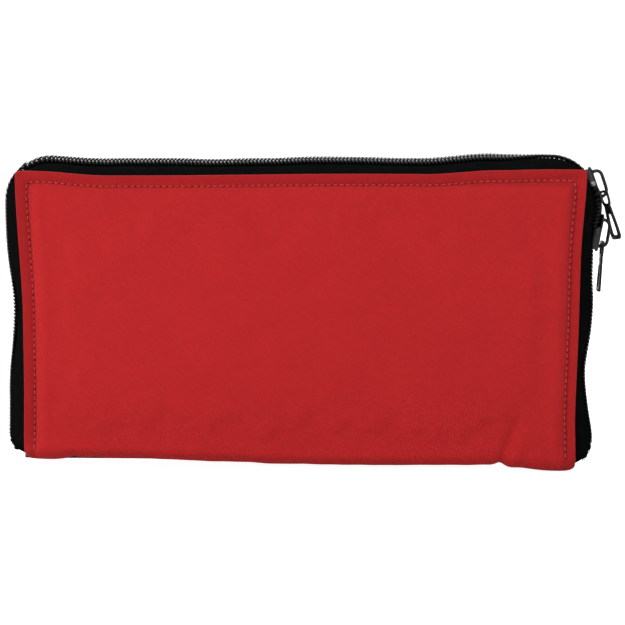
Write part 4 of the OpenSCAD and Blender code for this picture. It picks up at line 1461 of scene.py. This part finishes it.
def scissor_half(side, blade_node, grip_node, body):
    """One half of the scissors: a ground blade and shank, and a rounded finger ring."""
    pivot = np.array([-92.0, 0, 66.0])
    *_, y0, y1 = node_mm(blade_node)
    outline = np.array([(4.5, 3), (10.4, 24.5), (6.4, 26), (-5.5, 4), (-5.5, -6), (-3.2, -49), (-1.8, -52),
                        (0.6, -51), (2.9, -28), (4.2, -5)]) * (side, 1)
    loop = resample(outline, 120)
    centre_x = np.interp(loop[:, 1], [-52, -28, -5, 3, 25], np.array([-1.0, -1.4, -0.6, 0, 8.4]) * side)
    rows = []
    for y, k in ((y0, 0.86), (y0 + 0.25, 0.97), (y0 + 0.6, 1.0), (y1 - 0.3, 1.0), (y1, 0.93)):
        x = centre_x + (loop[:, 0] - centre_x) * k
        rows.append(np.column_stack([x, np.full(len(x), y), loop[:, 1]]) + pivot * (1, 0, 1))
    v, f = loft(rows, cap=False)
    n = len(loop)
    f += strip_cap(rows[0], 0, n, flip=True) + strip_cap(rows[-1], (len(rows) - 1) * n, n)
    piece(blade_node + "_ground", (v, f), STEEL, body, [blade_node], smooth_faces=False)
    x0, x1, z0, z1, y0, y1 = node_mm(grip_node)
    cx, cz, cy = (x0 + x1) / 2, (z0 + z1) / 2, (y0 + y1) / 2
    a = np.linspace(0, 2 * math.pi, 56, endpoint=False)
    rx, rz = (x1 - x0) / 2 - 2.35, (z1 - z0) / 2 - 2.45
    path = np.column_stack([cx + rx * np.sign(np.cos(a)) * np.abs(np.cos(a)) ** 0.85, np.full(56, cy),
                            cz + rz * np.sign(np.sin(a)) * np.abs(np.sin(a)) ** 0.85])
    parts = [tube(path, 2.2 + 0.15 * np.cos(a - math.pi / 2), 14, closed=True, flat=1.08)]
    # socket that grips the shank
    lo_end, hi_end = pivot + (side * 7.2, 0, 20.0), pivot + (side * 9.8, 0, 25.5)
    steps = [(lo_end, 2.5, 1.4), (lo_end * 0.5 + hi_end * 0.5, 2.9, 2.0), (hi_end, 3.0, 2.2),
             (hi_end + (side * 0.8, 0, 2.4), 2.6, 2.0)]
    loops = []
    for p, w, t in steps:
        shape = rounded_rect(-w, w, -t, t, min(w, t) * 0.8, 5)
        loops.append(np.column_stack([p[0] + shape[:, 0], cy + shape[:, 1], np.full(len(shape), p[2])]))
    parts.append(loft(loops))
    piece(grip_node + "_moulded", join(parts), RED_PLASTIC, body, [grip_node])


def strip_cap(row, start, n, flip=False):
    """Closes a thin loop by bridging its two long sides with quads."""
    top = int(np.argmax(row[:, 2]))
    order = [start + (top + k) % n for k in range(n)]
    faces = []
    for k in range(n // 2 - 1):
        quad = (order[k], order[k + 1], order[n - k - 2], order[n - k - 1])
        faces.append(quad[::-1] if flip else quad)
    return faces


def pivot_screw():
    """The screw that the scissors turn on, with a slot across its head."""
    x0, x1, z0, z1, y0, y1 = node_mm("scissors_pivot")
    c = ((x0 + x1) / 2, 0, (z0 + z1) / 2)
    head = [(2.0, y0 + 0.02), (2.7, y0 + 0.15), (3.1, y0 + 0.45), (3.15, y0 + 0.9), (1.5, y0 + 1.0),
            (1.5, y1 - 0.8), (2.55, y1 - 0.75), (2.6, y1 - 0.3), (2.2, y1)]
    piece("scissors_pivot_screw", loft(circles(head, c, 40)), STEEL, "back_half", ["scissors_pivot"])
    slot = rounded_rect(-2.4, 2.4, -0.35, 0.35, 0.3, 3)
    loops = [np.column_stack([c[0] + slot[:, 0] * k, np.full(len(slot), y), c[2] + slot[:, 1] * k])
             for y, k in ((y0 - 0.03, 0.98), (y0 + 0.2, 1.0))]
    piece("scissors_pivot_slot", loft(loops), ENAMEL, "back_half")


# ---------------------------------------------------------------- floor, lights and camera

def stage():
    """A white floor that curves up into walls, in metres, and looks evenly white to the camera."""
    n = Nodes("floor")
    n.colour((0.80, 0.80, 0.80), [n.spread(n.noise(400), 0.99, 1.01)])
    n.bsdf.inputs["Emission Color"].default_value = (1, 1, 1, 1)
    n.link(n.math("MULTIPLY", n.add("ShaderNodeLightPath").outputs["Is Camera Ray"], 0.95),
           n.bsdf.inputs["Emission Strength"])
    n.finish(0.9)
    rings = [(0.4, 0.0), (1.2, 0.0), (2.2, 0.0), (2.8, 0.08), (3.3, 0.35), (3.7, 0.9), (3.9, 2.0), (4.0, 4.0)]
    sides, below = 64, 0.0002
    verts = []
    for r, z in rings:
        for a in np.linspace(0, 2 * math.pi, sides, False):
            verts.append((r * math.cos(a), r * math.sin(a), z - below))
    faces = grid(len(rings), sides, close_cols=True) + [tuple(range(sides))[::-1]]
    me = bpy.data.meshes.new("floor")
    me.from_pydata(verts, [], faces)
    face_out(me)
    floor = bpy.data.objects.new("floor", me)
    bpy.context.scene.collection.objects.link(floor)
    me.polygons.foreach_set("use_smooth", [True] * len(me.polygons))
    me.materials.append(n.mat)


def lamp(name, at, target, size, power):
    """A round soft light at a place in metres, aimed at target."""
    data = bpy.data.lights.new(name, "AREA")
    data.shape, data.size, data.energy = "DISK", size, power
    obj = bpy.data.objects.new(name, data)
    obj.location = at
    obj.rotation_euler = (Vector(target) - Vector(at)).to_track_quat("-Z", "Y").to_euler()
    bpy.context.scene.collection.objects.link(obj)


def studio():
    """Soft light from the front left, with weaker ones from the right, above and behind."""
    scene = bpy.context.scene
    scene.view_settings.view_transform = "Standard"
    world = bpy.data.worlds.new("studio")
    world.use_nodes = True
    world.node_tree.nodes["Background"].inputs[0].default_value = (1, 1, 1, 1)
    world.node_tree.nodes["Background"].inputs[1].default_value = 0.46
    scene.world = world
    lamp("key", (-0.90, -0.95, 1.05), (0, 0, 0.06), 0.5, 16.0)
    lamp("fill", (1.0, -0.9, 0.5), (0, 0, 0.06), 0.8, 2.2)
    lamp("top", (0.1, 0.35, 1.2), (0, 0, 0.1), 0.5, 3.2)
    lamp("back", (-0.5, 1.2, 0.8), (0, 0, 0.06), 0.7, 11.0)


def camera():
    """Looks at the front from a little above, nearly level."""
    data = bpy.data.cameras.new("camera")
    data.lens = 85
    obj = bpy.data.objects.new("camera", data)
    bpy.context.scene.collection.objects.link(obj)
    target = Vector((0.0058, 0, 0.0733))
    distance, elevation, roll = 0.700, math.radians(7.0), math.radians(0.45)
    back = Vector((0, -math.cos(elevation), math.sin(elevation)))
    obj.location = target + back * distance
    obj.rotation_mode = "QUATERNION"
    obj.rotation_quaternion = (-back).to_track_quat("-Z", "Y") @ Matrix.Rotation(roll, 3, "Z").to_quaternion()
    data.clip_start, data.clip_end = 0.01, 20
    bpy.context.scene.camera = obj


# ---------------------------------------------------------------- build

for side in (FRONT, BACK):
    swelling = pad_simulation(side)
    cover(side, swelling)
    stitches(side, swelling)
    padding(side, swelling)
    zipper_tape(side)
    zipper_coil(side)
    lining(side)
    fold_lining(side)
sliders()
spine()
packets()
blanket_and_gloves()
net()
front_bands()
organiser()
bandage("wide_bandage", 8, 161)
bandage("narrow_bandage", 7, 165)
clips()
tape_roll()
calico()
tweezer_pair()
pins()
scissor_half(-1, "scissors_fixed_blade", "scissors_fixed_grip", "back_half")
scissor_half(1, "scissors_moving_blade", "scissors_moving_grip", "scissors_moving_half")
pivot_screw()
stage()
studio()
camera()
